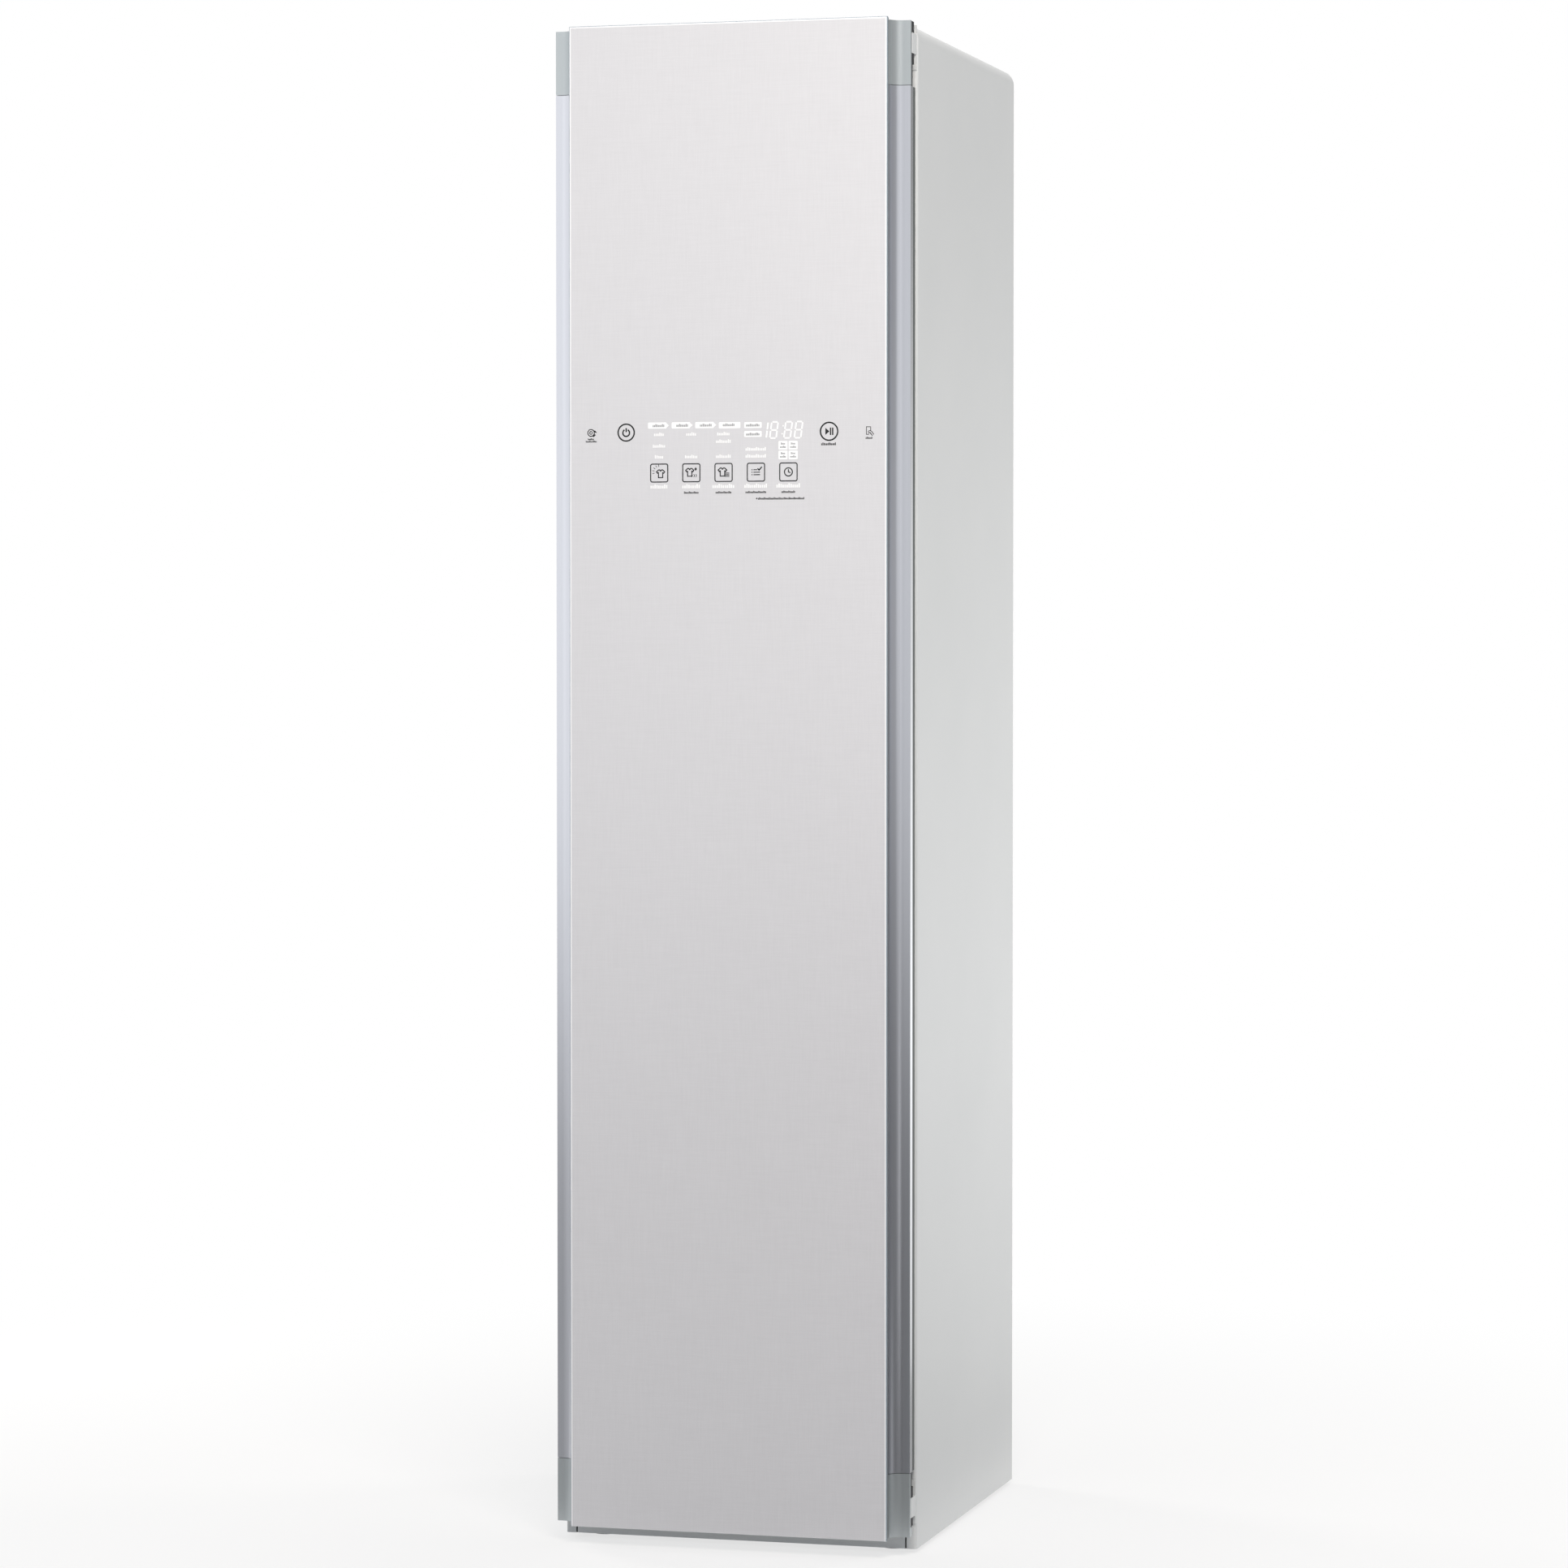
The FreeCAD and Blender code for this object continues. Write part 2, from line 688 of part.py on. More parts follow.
def make_shelf():
    """Lift-out rack for folded things: a rimmed plate with long slots for the steam."""
    body = new_body("shelf")
    side = f"({CHAMBER_SIDE} - free_gap)"
    front = SHELF_FRONT
    back = SHELF_BACK
    pad(body, rectangle(body, "XY", "shelf_height", f"-{side}", side, front, back), "shelf_thick")
    round_edges(body, "14", lambda edge: runs_along(edge, "z"))
    tray = rectangle(body, "XY", "shelf_height + shelf_thick", f"-({side} - 6)", f"{side} - 6",
                     f"{front} + 6", f"{back} - 6")
    cut(body, tray, "shelf_thick - 3")
    slot = rectangle(body, "XY", "shelf_height - 1", f"-({side} - 22)", f"-({side} - 34)",
                     f"{front} + 24", f"{back} - 24")
    first = cut(body, slot, "shelf_thick + 2", True)
    repeat(body, first, "X", f"2 * ({side} - 28)", "15")


def make_lift_out(label, left, width, windows):
    """Lift-out insert in the floor port: tray with rim, side windows and a grab bar."""
    body = new_body(label)
    right = f"({left} + {width})"
    back = f"({FILTER_Y} + filter_depth)"
    low = "(chamber_floor - filter_drop)"
    pad(body, rectangle(body, "XY", low, left, right, FILTER_Y, back), "filter_drop")
    rim = rectangle(body, "XY", "chamber_floor + seat_gap", f"{left} - 6", f"{right} + 6",
                    f"{FILTER_Y} - 6", f"{back} + 6")
    pad(body, rim, "3")
    stub = rectangle(body, "XY", "chamber_floor", left, right, FILTER_Y, back)
    pad(body, stub, "1")
    hollow = rectangle(body, "XY", "chamber_floor + 4", f"{left} + 3", f"{right} - 3",
                       f"{FILTER_Y} + 3", f"{back} - 3")
    cut(body, hollow, "filter_drop + 1")
    window = rectangle(body, "XZ", f"-({FILTER_Y} - 1)", f"{left} + 12", f"{left} + 28",
                       f"{low} + 6", "chamber_floor - 8")
    first = cut(body, window, "filter_depth + 2")
    repeat(body, first, "X", f"{width} - 40", windows)
    grab = rectangle(body, "XY", "chamber_floor - 2", f"({left} + {right}) / 2 - 5",
                     f"({left} + {right}) / 2 + 5", f"{FILTER_Y} + 1", f"{back} - 1")
    pad(body, grab, "5.3")


def make_chamber_lamp():
    """Light lens let into the chamber ceiling, near the front."""
    y = f"({LINER_FRONT} + 40)"
    lens = box("-55", "55", y, f"{y} + 26", f"({CHAMBER_TOP} - 3)", CHAMBER_TOP)
    keep(lens, "chamber_lamp")


make_chamber_liner()
make_insulation()
make_floor_grille()
make_shelf_hooks()
make_shelf()
make_lift_out("lint_filter", FILTER_X, "filter_width", "5")
make_lift_out("fragrance_case", SCENT_X, "scent_width", "4")
make_chamber_lamp()


# ---------------------------------------------------------------- water tanks

TANK_FRONT = f"({LINER_FRONT} + tank_setback)"
BAY_BACK = f"({TANK_FRONT} + bay_depth)"
BAY_HALF = f"(({SIDE} - bay_margin - bay_web) / 2)"
BAY_CENTRE = f"({BAY_HALF} + bay_web)"
BAY_HIGH = "(chamber_floor - bay_roof)"


def make_tank_bay():
    """Moulded front frame with two pockets that hold the water tanks."""
    body = new_body("tank_bay")
    side = f"({SIDE} - front_flange - free_gap)"
    low = f"({BOTTOM} + base_height + kick_sheet + 2 * seat_gap)"
    high = f"({FLOOR_UNDER} - liner_flange - seat_gap)"
    face = f"({LINER_FRONT} + 8)"
    plate = rectangle(body, "XZ", f"-({face} + base_wall)", f"-{side}", side, low, high)
    pad(body, plate, "base_wall")
    for shift in ("-1", "1"):
        centre = f"({shift} * {BAY_CENTRE})"
        pocket = rectangle(body, "XZ", f"-({BAY_BACK} + base_wall)",
                           f"{centre} - {BAY_HALF} - base_wall",
                           f"{centre} + {BAY_HALF} + base_wall",
                           "bay_low - base_wall", f"{BAY_HIGH} + base_wall")
        pad(body, pocket, f"{BAY_BACK} + base_wall - ({face} + base_wall)")
    for shift in ("-1", "1"):
        centre = f"({shift} * {BAY_CENTRE})"
        hollow = rectangle(body, "XZ", f"-({face} - 1)", f"{centre} - {BAY_HALF}",
                           f"{centre} + {BAY_HALF}", "bay_low", BAY_HIGH)
        cut(body, hollow, f"{BAY_BACK} - {face} + 1")
    skirt = rectangle(body, "XY", low, f"-{side}", side, face, f"{face} + 40")
    pad(body, skirt, "base_wall")
    for shift in ("-1", "1"):
        leg = rectangle(body, "XY", f"{BASE_FLOOR} + seat_gap", f"{shift} * 150 - 6",
                        f"{shift} * 150 + 6", f"{BAY_BACK} - 8", BAY_BACK)
        pad(body, leg, f"bay_low - ({BASE_FLOOR} + seat_gap)")


def make_tank(label, shift):
    """Blow-moulded water tank: finger recess in front, filler neck with a ridged lid on top."""
    body = new_body(label)
    half = f"({BAY_HALF} - tank_gap)"
    low = "(bay_low + seat_gap)"
    high = f"({BAY_HIGH} - 34)"
    depth = "(bay_depth - tank_gap)"
    pad(body, rectangle(body, "XZ", f"-({depth})", f"-{half}", half, low, high), depth)
    round_edges(body, "tank_round", lambda edge: runs_along(edge, "z"))
    round_edges(body, "4", lambda edge: lies_at(edge, "z", number(high)))
    grip = rectangle(body, "XZ", "1", "-44", "44", f"{high} - 44", f"{high} - 14")
    cut(body, grip, "22 + 1")
    neck = circles(body, "XY", f"{high} - 1", [("0", "70")], "24")
    pad(body, neck, "5")
    lid = circles(body, "XY", f"{high} + 4", [("0", "70")], "29")
    pad(body, lid, "14")
    ridge = rectangle(body, "XY", f"{high} + 17", "-24", "24", "66", "74")
    pad(body, ridge, "7")
    place(body, f"{shift} * {BAY_CENTRE}", TANK_FRONT, "0")


make_tank_bay()
make_tank("supply_tank", "-1")
make_tank("drain_tank", "1")


# ---------------------------------------------------------------- door

LINER_SIDE = f"({SIDE} - liner_inset - seat_gap)"
DOOR_LOW = f"({LIP_LOW} + 4)"
DOOR_HIGH = f"({LIP_HIGH} - 4)"


def make_glass_panel():
    """Toughened front glass with a fine arris on every front edge."""
    body = new_body("glass_panel")
    face = rectangle(body, "XZ", f"-({FRONT} + glass_thick)", f"-{GLASS_SIDE}", GLASS_SIDE,
                     GLASS_BOTTOM, GLASS_TOP)
    pad(body, face, "glass_thick")
    front = number(FRONT)
    round_edges(body, "0.8", lambda edge: lies_at(edge, "y", front))


def make_front_frame():
    """Moulded carrier behind the glass, with the pocket of the touch board."""
    body = new_body("front_frame")
    half = f"({GLASS_SIDE} - frame_inset)"
    plate = rectangle(body, "XZ", f"-{FRAME_BACK}", f"-{half}", half,
                      f"{GLASS_BOTTOM} + frame_inset", f"{GLASS_TOP} - frame_inset")
    pad(body, plate, "frame_depth")
    board = f"({GLASS_SIDE} - board_margin)"
    pocket = rectangle(body, "XZ", f"-({FRONT} + glass_thick)", f"-{board}", board,
                       "board_low", "board_high")
    cut(body, pocket, "board_pocket")
    reach = f"({GLASS_SIDE} - grip_tab - seat_gap)"
    for low in (LIP_LOW, f"({LIP_HIGH} - door_wall)"):
        wall = rectangle(body, "XY", low, f"-{reach}", reach, f"{FRAME_BACK} - 1", LIP_BACK)
        pad(body, wall, "door_wall")


def make_touch_board():
    """Display and touch board: plate, display block and processor behind it."""
    back = f"({FRONT} + glass_thick + seat_gap)"
    edge = f"({GLASS_SIDE} - board_margin - free_gap)"
    plate = box(f"-{edge}", edge, back, f"{back} + board_thick", "board_low + free_gap",
                "board_high - free_gap")
    display = box("60", "140", f"{back} + board_thick", f"{back} + board_thick + 2",
                  "board_high - 46", "board_high - 10")
    chip = box("-60", "-34", f"{back} + board_thick", f"{back} + board_thick + 2",
               "board_low + 50", "board_low + 76")
    joined([plate, display, chip], "touch_board")


def cove_points(sign, lip_wall):
    """Front surface shared by grips and caps: tab, hollow cove and flat lip, as points."""
    start = f"({GLASS_SIDE} + 0.8)"
    lip = f"({SIDE} - lip_flat)"
    run = f"({lip} - {start})"
    drop = f"({LIP_FRONT} - {GRIP_FRONT})"
    radius = f"(({run} * {run} + {drop} * {drop}) / (2 * {drop}))"
    swing = "" if sign == "1" else "-"
    points = [(f"{sign} * {start}", GRIP_FRONT),
              (f"{sign} * {lip}", LIP_FRONT, f"{swing}(-{radius})"),
              (f"{sign} * {SIDE}", LIP_FRONT),
              (f"{sign} * {SIDE}", lip_wall)]
    return points, radius, lip


def make_grip_profile(label, sign):
    """Extruded aluminium grip: hollow cove beside the glass and a boxed lip behind it."""
    body = new_body(label)
    points, radius, lip = cove_points(sign, LIP_BACK)
    tab = f"({GRIP_FRONT} + grip_wall)"
    reach = f"({radius} + grip_wall)"
    fall = f"({tab} - ({LIP_FRONT} - {radius}))"
    root = f"({lip} - sqrt({reach} * {reach} - {fall} * {fall}))"
    end = f"({GLASS_SIDE} - grip_tab)"
    swing = "-" if sign == "1" else ""
    inner = [(f"{sign} * ({SIDE} - liner_inset)", LIP_BACK),
             (f"{sign} * ({SIDE} - liner_inset)", f"{LIP_BACK} - grip_wall"),
             (f"{sign} * ({SIDE} - grip_wall)", f"{LIP_BACK} - grip_wall"),
             (f"{sign} * ({SIDE} - grip_wall)", f"{LIP_FRONT} + grip_wall"),
             (f"{sign} * {lip}", f"{LIP_FRONT} + grip_wall"),
             (f"{sign} * {root}", tab, f"{swing}(-{reach})"),
             (f"{sign} * {end}", tab),
             (f"{sign} * {end}", GRIP_FRONT)]
    section = outline(body, "XY", f"{LIP_LOW} + cap_height + cap_seam", points + inner)
    pad(body, section, f"{LIP_HIGH} - {LIP_LOW} - 2 * (cap_height + cap_seam)")


def make_cap(label, sign, low, hinged, toe=None):
    """Moulded end cap with the grip's section; on the hinge side it clears the hinge leaf.

    A toe closes the lip again below the lower leaf.
    """
    body = new_body(label)
    wall = f"({LIP_FRONT} + lip_skin)" if hinged else LIP_BACK
    points = cove_points(sign, wall)[0]
    inside = f"({SIDE} - liner_inset)"
    end = f"({GLASS_SIDE} - grip_tab)"
    rest = [(f"{sign} * {inside}", wall)]
    if hinged:
        rest.append((f"{sign} * {inside}", LIP_BACK))
    rest += [(f"{sign} * {end}", LIP_BACK), (f"{sign} * {end}", GRIP_FRONT)]
    section = outline(body, "XY", low, points + rest)
    pad(body, section, "cap_height")
    if toe:
        pad(body, rectangle(body, "XY", low, inside, SIDE, f"{wall} - 1", LIP_BACK), toe)


def make_hinge_leaf(label, knuckle, low, high, tongue_low, tongue_high):
    """Black hinge leaf in the door: eyes above and below the knuckle, joined by a narrow web.

    The web stops short of the pin, so that the door opens past a right angle.
    """
    body = new_body(label)
    face = f"({LIP_FRONT} + lip_skin + seat_gap / 3)"
    left = f"({PIN_X} - knuckle_radius - 0.2)"
    right = f"({PIN_X} + knuckle_radius)"
    back = f"({PIN_Y} + knuckle_radius)"
    plan = [(left, face), (right, face), (right, f"{back} - 4"), (f"{right} - 4", back, "4"),
            (left, back)]
    pad(body, outline(body, "XY", low, plan), f"{high} - {low}")
    round_hole = circles(body, "XY", f"{knuckle} - seat_gap", [(PIN_X, PIN_Y)],
                         "knuckle_radius + seat_gap")
    cut(body, round_hole, "knuckle_height + 2 * seat_gap", True)
    swept = rectangle(body, "XY", f"{knuckle} - seat_gap", f"{left} - 1", f"{right} + 2", PIN_Y,
                      f"{back} + 1")
    cut(body, swept, "knuckle_height + 2 * seat_gap", True)
    flank = rectangle(body, "XY", f"{knuckle} - seat_gap", f"{PIN_X} - 1", f"{right} + 2",
                      f"{face} - 1", f"{back} + 1")
    cut(body, flank, "knuckle_height + 2 * seat_gap", True)
    cut(body, circles(body, "XY", f"{low} - 1", [(PIN_X, PIN_Y)], "pin_radius"),
        f"{high} - {low} + 2", True)
    strip = rectangle(body, "XY", tongue_low, left, right, face, f"{LIP_BACK}")
    pad(body, strip, f"{tongue_high} - {tongue_low}")


def make_hinge_bracket(label, knuckle, low, high):
    """Case-side hinge: a leaf on the case front, with the knuckle on a short neck."""
    body = new_body(label)
    left = f"({PIN_X} - knuckle_radius)"
    right = f"({PIN_X} + knuckle_radius - 0.2)"
    leaf_front = f"({CASE_FRONT} - hinge_leaf)"
    leaf = rectangle(body, "XY", low, f"{left} + seat_gap", f"{right} - 0.1", leaf_front, CASE_FRONT)
    pad(body, leaf, f"{high} - {low}")
    neck = rectangle(body, "XY", knuckle, left, right, PIN_Y, f"{leaf_front} + 1")
    pad(body, neck, "knuckle_height")
    eye = circles(body, "XY", knuckle, [(PIN_X, PIN_Y)], "knuckle_radius")
    pad(body, eye, "knuckle_height")
    cut(body, circles(body, "XY", f"{knuckle} - 1", [(PIN_X, PIN_Y)], "pin_radius"),
        "knuckle_height + 2", True)


def make_door_liner():
    """Inner skin of the door, a shallow moulded pan, with two screwed-on eyes for the press."""
    body = doc.addObject("PartDesign::Body", "DoorPan")
    pan = rectangle(body, "XZ", f"-{DOOR_BACK}", f"-{LINER_SIDE}", LINER_SIDE, DOOR_LOW, DOOR_HIGH)
    pad(body, pan, f"{DOOR_BACK} - {LIP_BACK} - seat_gap")
    round_edges(body, "8", lambda edge: runs_along(edge, "y"))
    hollow = rectangle(body, "XZ", f"-({LIP_BACK} - 1)", f"-({LINER_SIDE} - door_wall)",
                       f"{LINER_SIDE} - door_wall", f"{DOOR_LOW} + door_wall",
                       f"{DOOR_HIGH} - door_wall")
    cut(body, hollow, f"{DOOR_BACK} - {LIP_BACK} + 1 - door_wall")
    plinth = rectangle(body, "XZ", f"-({DOOR_BACK} + 4)", "-(press_width / 2 + 12)",
                       "press_width / 2 + 12", "press_low - 30", "press_high + 30")
    pad(body, plinth, "5")
    eyes = []
    for z in ("(press_low - 22)", "(press_high + 10)"):
        eyes.append(box("press_width / 2 - 8", "press_width / 2 + 12",
                        f"{DOOR_BACK} + 4 + seat_gap", PRESS_BACK, z, f"{z} + 12"))
    bore = rod("Z", PRESS_PIN_X, PRESS_PIN_Y, "press_low - 23", "press_pin_radius",
               "press_high - press_low + 46")
    less(joined([body] + eyes), bore, "door_liner")


def make_door_gasket():
    """Magnetic bellows seal: a closed ring with a hollow, softly rounded section."""
    body = new_body("door_gasket")
    side = f"({LINER_SIDE} - gasket_inset)"
    low = f"({DOOR_LOW} + gasket_inset)"
    high = f"({DOOR_HIGH} - gasket_inset)"
    depth = "(gasket_room - 2 * seat_gap)"
    ring = rectangle(body, "XZ", f"-({DOOR_BACK} + seat_gap + {depth})", f"-{side}", side, low, high)
    pad(body, ring, depth)
    round_edges(body, "6", lambda edge: runs_along(edge, "y"))
    hollow = rectangle(body, "XZ", f"-{DOOR_BACK}", f"-({side} - gasket_width)",
                       f"{side} - gasket_width", f"{low} + gasket_width", f"{high} - gasket_width")
    cut(body, hollow, "gasket_room")
    back = number(f"{DOOR_BACK} + seat_gap + {depth}")
    round_edges(body, "2.5", lambda edge: lies_at(edge, "y", back))


def make_hinge_pins():
    """Two plain steel pins, one through each knuckle."""
    parts = []
    for knuckle in (UPPER_KNUCKLE, LOWER_KNUCKLE):
        parts.append(rod("Z", PIN_X, PIN_Y, f"{knuckle} - 9", "pin_radius - running_gap",
                         "knuckle_height + 18"))
    joined(parts, "hinge_pins")


PRESS_FACE = f"({DOOR_BACK} + 4 + backing_thick + press_space)"
PRESS_BACK = f"({PRESS_FACE} + press_thick)"
PRESS_PIN_X = "(press_width / 2 - 1)"
PRESS_PIN_Y = f"({PRESS_FACE} + press_thick / 2)"

make_glass_panel()
make_front_frame()
make_touch_board()
make_grip_profile("left_grip_profile", "-1")
make_grip_profile("right_grip_profile", "1")
make_cap("upper_left_cap", "-1", f"({LIP_HIGH} - cap_height)", False)
make_cap("upper_right_cap", "1", f"({LIP_HIGH} - cap_height)", True)
make_cap("lower_left_cap", "-1", LIP_LOW, False)
make_cap("lower_right_cap", "1", LIP_LOW, True, "cap_toe")
make_hinge_leaf("upper_hinge_leaf", UPPER_KNUCKLE, f"({UPPER_KNUCKLE} - hinge_reach)", LIP_HIGH,
                f"({LIP_HIGH} - cap_height)", f"({UPPER_KNUCKLE} - hinge_reach + 1)")
make_hinge_leaf("lower_hinge_leaf", LOWER_KNUCKLE, f"({LIP_LOW} + cap_toe + seat_gap)",
                f"({LOWER_KNUCKLE} + knuckle_height + hinge_reach)",
                f"({LOWER_KNUCKLE} + knuckle_height + hinge_reach - 1)",
                f"({LIP_LOW} + cap_height)")
make_hinge_bracket("upper_hinge_bracket", UPPER_KNUCKLE, f"({UPPER_KNUCKLE} - 18)",
                   f"({LIP_HIGH} - 2)")
make_hinge_bracket("lower_hinge_bracket", LOWER_KNUCKLE, f"({BOTTOM} + kick_height + 2)",
                   f"({LOWER_KNUCKLE} + knuckle_height + 18)")
make_hinge_pins()
make_door_liner()
make_door_gasket()


# ---------------------------------------------------------------- trouser press

def make_press_backing():
    """Fixed pressing board with a fabric-covered face."""
    body = new_body("press_backing")
    half = "(press_width / 2 - 12)"
    board = rectangle(body, "XZ", f"-({DOOR_BACK} + 4 + backing_thick)", f"-{half}", half,
                      "press_low", "press_high")
    pad(body, board, "backing_thick")
    round_edges(body, "10", lambda edge: runs_along(edge, "y"))


def make_press_panel():
    """Swinging pressing panel: a ribbed moulding on two pins, with a pull edge."""
    body = new_body("press_panel")
    half = "(press_width / 2 - 10)"
    slab = rectangle(body, "XZ", f"-{PRESS_BACK}", f"-{half}", half, "press_low", "press_high")
    pad(body, slab, "press_thick")
    round_edges(body, "8", lambda edge: runs_along(edge, "y"))
    bay = rectangle(body, "XZ", f"-{PRESS_BACK}", f"-({half} - 14)", f"{half} - 14",
                    "press_low + 14", "press_low + 14 + (press_high - press_low - 28 - 5 * 8) / 6")
    first = cut(body, bay, "press_thick - 4", True)
    step = "((press_high - press_low - 28 - 5 * 8) / 6 + 8)"
    repeat(body, first, "Z", f"5 * {step}", "6")
    for z in ("press_low - 6", "press_high - 12"):
        ear = rectangle(body, "XY", z, f"{half} - 6", f"{PRESS_PIN_X}", f"{PRESS_PIN_Y} - 6",
                        f"{PRESS_PIN_Y} + 6")
        pad(body, ear, "18")
    ends = circles(body, "XY", "press_low - 20", [(PRESS_PIN_X, PRESS_PIN_Y)],
                   "press_pin_radius - running_gap")
    pad(body, ends, "20")
    tops = circles(body, "XY", "press_high", [(PRESS_PIN_X, PRESS_PIN_Y)],
                   "press_pin_radius - running_gap")
    pad(body, tops, "20")
    pull = rectangle(body, "XZ", f"-{PRESS_BACK}", f"-({half} + 10)", f"-({half} - 1)",
                     "(press_low + press_high) / 2 - 45", "(press_low + press_high) / 2 + 45")
    pad(body, pull, "4")


make_press_backing()
make_press_panel()


# ---------------------------------------------------------------- shaking hanger bar

PLATE_TOP = f"({LINER_TOP} + drive_sheet)"
ROD_Z = f"({PLATE_TOP} + rod_rise)"
CARRIAGE_LOW = f"({ROD_Z} + 9)"
CARRIAGE_TOP = f"({CARRIAGE_LOW} + carriage_sheet)"
LINK_LOW = f"({CARRIAGE_TOP} + 7)"
PULLEY_LOW = f"({LINK_LOW} + link_thick + 3)"
PULLEY_TOP = f"({PULLEY_LOW} + pulley_height)"
BRIDGE_LOW = f"({PULLEY_TOP} + 3)"
ROD_Y = "(rod_spacing / 2)"
ROD_HALF = "(post_spacing / 2 + bar_travel + 26)"
MOTOR_Y = "pulley_centres"
BAR_Z = f"({CHAMBER_TOP} - bar_drop)"


def make_hanger_bar():
    """Hanging rail on two posts, with the carriage that runs on the guide rods."""
    half = "(post_spacing / 2 + bar_overhang)"
    bar = rod("X", f"-{half}", "0", BAR_Z, "bar_radius", f"2 * {half}")
    parts = [bar]
    for shift in ("-1", "1"):
        x = f"({shift} * post_spacing / 2)"
        parts.append(rod("Z", x, "0", BAR_Z, "post_radius", f"{CARRIAGE_TOP} - {BAR_Z}"))
        knob = f"({shift} * {half} - 3)"
        parts.append(rod("X", knob, "0", BAR_Z, "bar_radius + 4", "6"))
    plate = box("-(post_spacing / 2 + 14)", "post_spacing / 2 + 14", f"-({ROD_Y} + 10)",
                f"{ROD_Y} + 10", CARRIAGE_LOW, CARRIAGE_TOP)
    window = box("-(post_spacing / 2 - 24)", "post_spacing / 2 - 24", "14", f"{ROD_Y} - 12",
                 f"{CARRIAGE_LOW} - 1", f"{CARRIAGE_TOP} + 1")
    parts.append(less(plate, window))
    bores = []
    for side in ("-1", "1"):
        for shift in ("-1", "1"):
            x = f"({shift} * post_spacing / 2 - 11)"
            y = f"({side} * {ROD_Y})"
            parts.append(rod("X", x, y, ROD_Z, "9.5", "22"))
            bores.append(rod("X", f"({x} - 1)", y, ROD_Z, "rod_radius + running_gap", "24"))
    link_x = "(crank_offset - sqrt(link_length * link_length - bar_travel * bar_travel))"
    parts.append(rod("Z", link_x, "0", CARRIAGE_LOW, "crank_pin",
                     f"{LINK_LOW} - seat_gap - {CARRIAGE_LOW}"))
    less(joined(parts), joined(bores), "hanger_bar")


def make_slide_rods():
    """Two ground steel rods that guide the carriage."""
    rods = [rod("X", f"-{ROD_HALF}", f"{side} * {ROD_Y}", ROD_Z, "rod_radius", f"2 * {ROD_HALF}")
            for side in ("-1", "1")]
    joined(rods, "slide_rods")


def make_drive_plate():
    """Steel chassis of the shaker: base, rod blocks and the bridge over the pulley."""
    reach = f"({ROD_HALF} + 6)"
    base = box(f"-{reach}", reach, f"-({ROD_Y} + 32)", f"{ROD_Y} + 32", LINER_TOP, PLATE_TOP)
    shelf = box("crank_offset - 36", "crank_offset + 36", f"{ROD_Y} + 30", f"{MOTOR_Y} + 34",
                LINER_TOP, PLATE_TOP)
    parts = [base, shelf]
    tools = []
    for side in ("-1", "1"):
        for shift in ("-1", "1"):
            x = f"({shift} * ({ROD_HALF} - 2) - 4)"
            y = f"({side} * {ROD_Y} - 10)"
            parts.append(box(x, f"{x} + 8", y, f"{y} + 20", f"{PLATE_TOP} - 1", f"{ROD_Z} + 10"))
        y = f"({side} * ({ROD_Y} + 26) - 1.5)"
        for x in ("(crank_offset - 38)", "(crank_offset + 30)"):
            parts.append(box(x, f"{x} + 8", y, f"{y} + 3", f"{PLATE_TOP} - 1", f"{BRIDGE_LOW} + 3"))
        tools.append(rod("X", f"-({ROD_HALF} + 1)", f"{side} * {ROD_Y}", ROD_Z, "rod_radius",
                         f"2 * ({ROD_HALF} + 1)"))
    parts.append(box("crank_offset - 38", "crank_offset + 38", f"-({ROD_Y} + 27.5)",
                     f"{ROD_Y} + 27.5", BRIDGE_LOW, f"{BRIDGE_LOW} + 3"))
    tools.append(rod("Z", "crank_offset", "0", f"{BRIDGE_LOW} - 1", "6", "5"))
    for shift in ("-1", "1"):
        centre = f"({shift} * post_spacing / 2)"
        span = "(bar_travel + post_radius + 2)"
        tools.append(box(f"{centre} - {span}", f"{centre} + {span}", "-(post_radius + 2)",
                         "post_radius + 2", f"{LINER_TOP} - 1", f"{PLATE_TOP} + 1"))
    less(joined(parts), joined(tools), "drive_plate")


def make_drive_pulley():
    """Toothless belt pulley with its shaft and the eccentric crank pin underneath."""
    body = new_body("drive_pulley")
    rim = "big_pulley"
    hub = "14"
    turned = outline(body, "XZ", "0", [
        ("0", PULLEY_LOW), (rim, PULLEY_LOW), (rim, f"{PULLEY_LOW} + 2"),
        (f"{rim} - 2", f"{PULLEY_LOW} + 2"), (f"{rim} - 2", f"{PULLEY_TOP} - 2"),
        (rim, f"{PULLEY_TOP} - 2"), (rim, PULLEY_TOP), (hub, PULLEY_TOP),
        (hub, f"{PULLEY_TOP} + 2"), ("6 - running_gap", f"{PULLEY_TOP} + 2"),
        ("6 - running_gap", f"{BRIDGE_LOW} + 5"), ("0", f"{BRIDGE_LOW} + 5")])
    turn(body, turned, "Z")
    pin = circles(body, "XY", f"{LINK_LOW} - 2", [("0", "-bar_travel")], "crank_pin")
    pad(body, pin, f"{PULLEY_LOW} + 1 - ({LINK_LOW} - 2)")
    holes = circles(body, "XY", f"{PULLEY_TOP} + 1", [("-28", "0"), ("28", "0"), ("0", "28")], "7")
    cut(body, holes, "pulley_height + 2")
    place(body, "crank_offset", "0", "0")


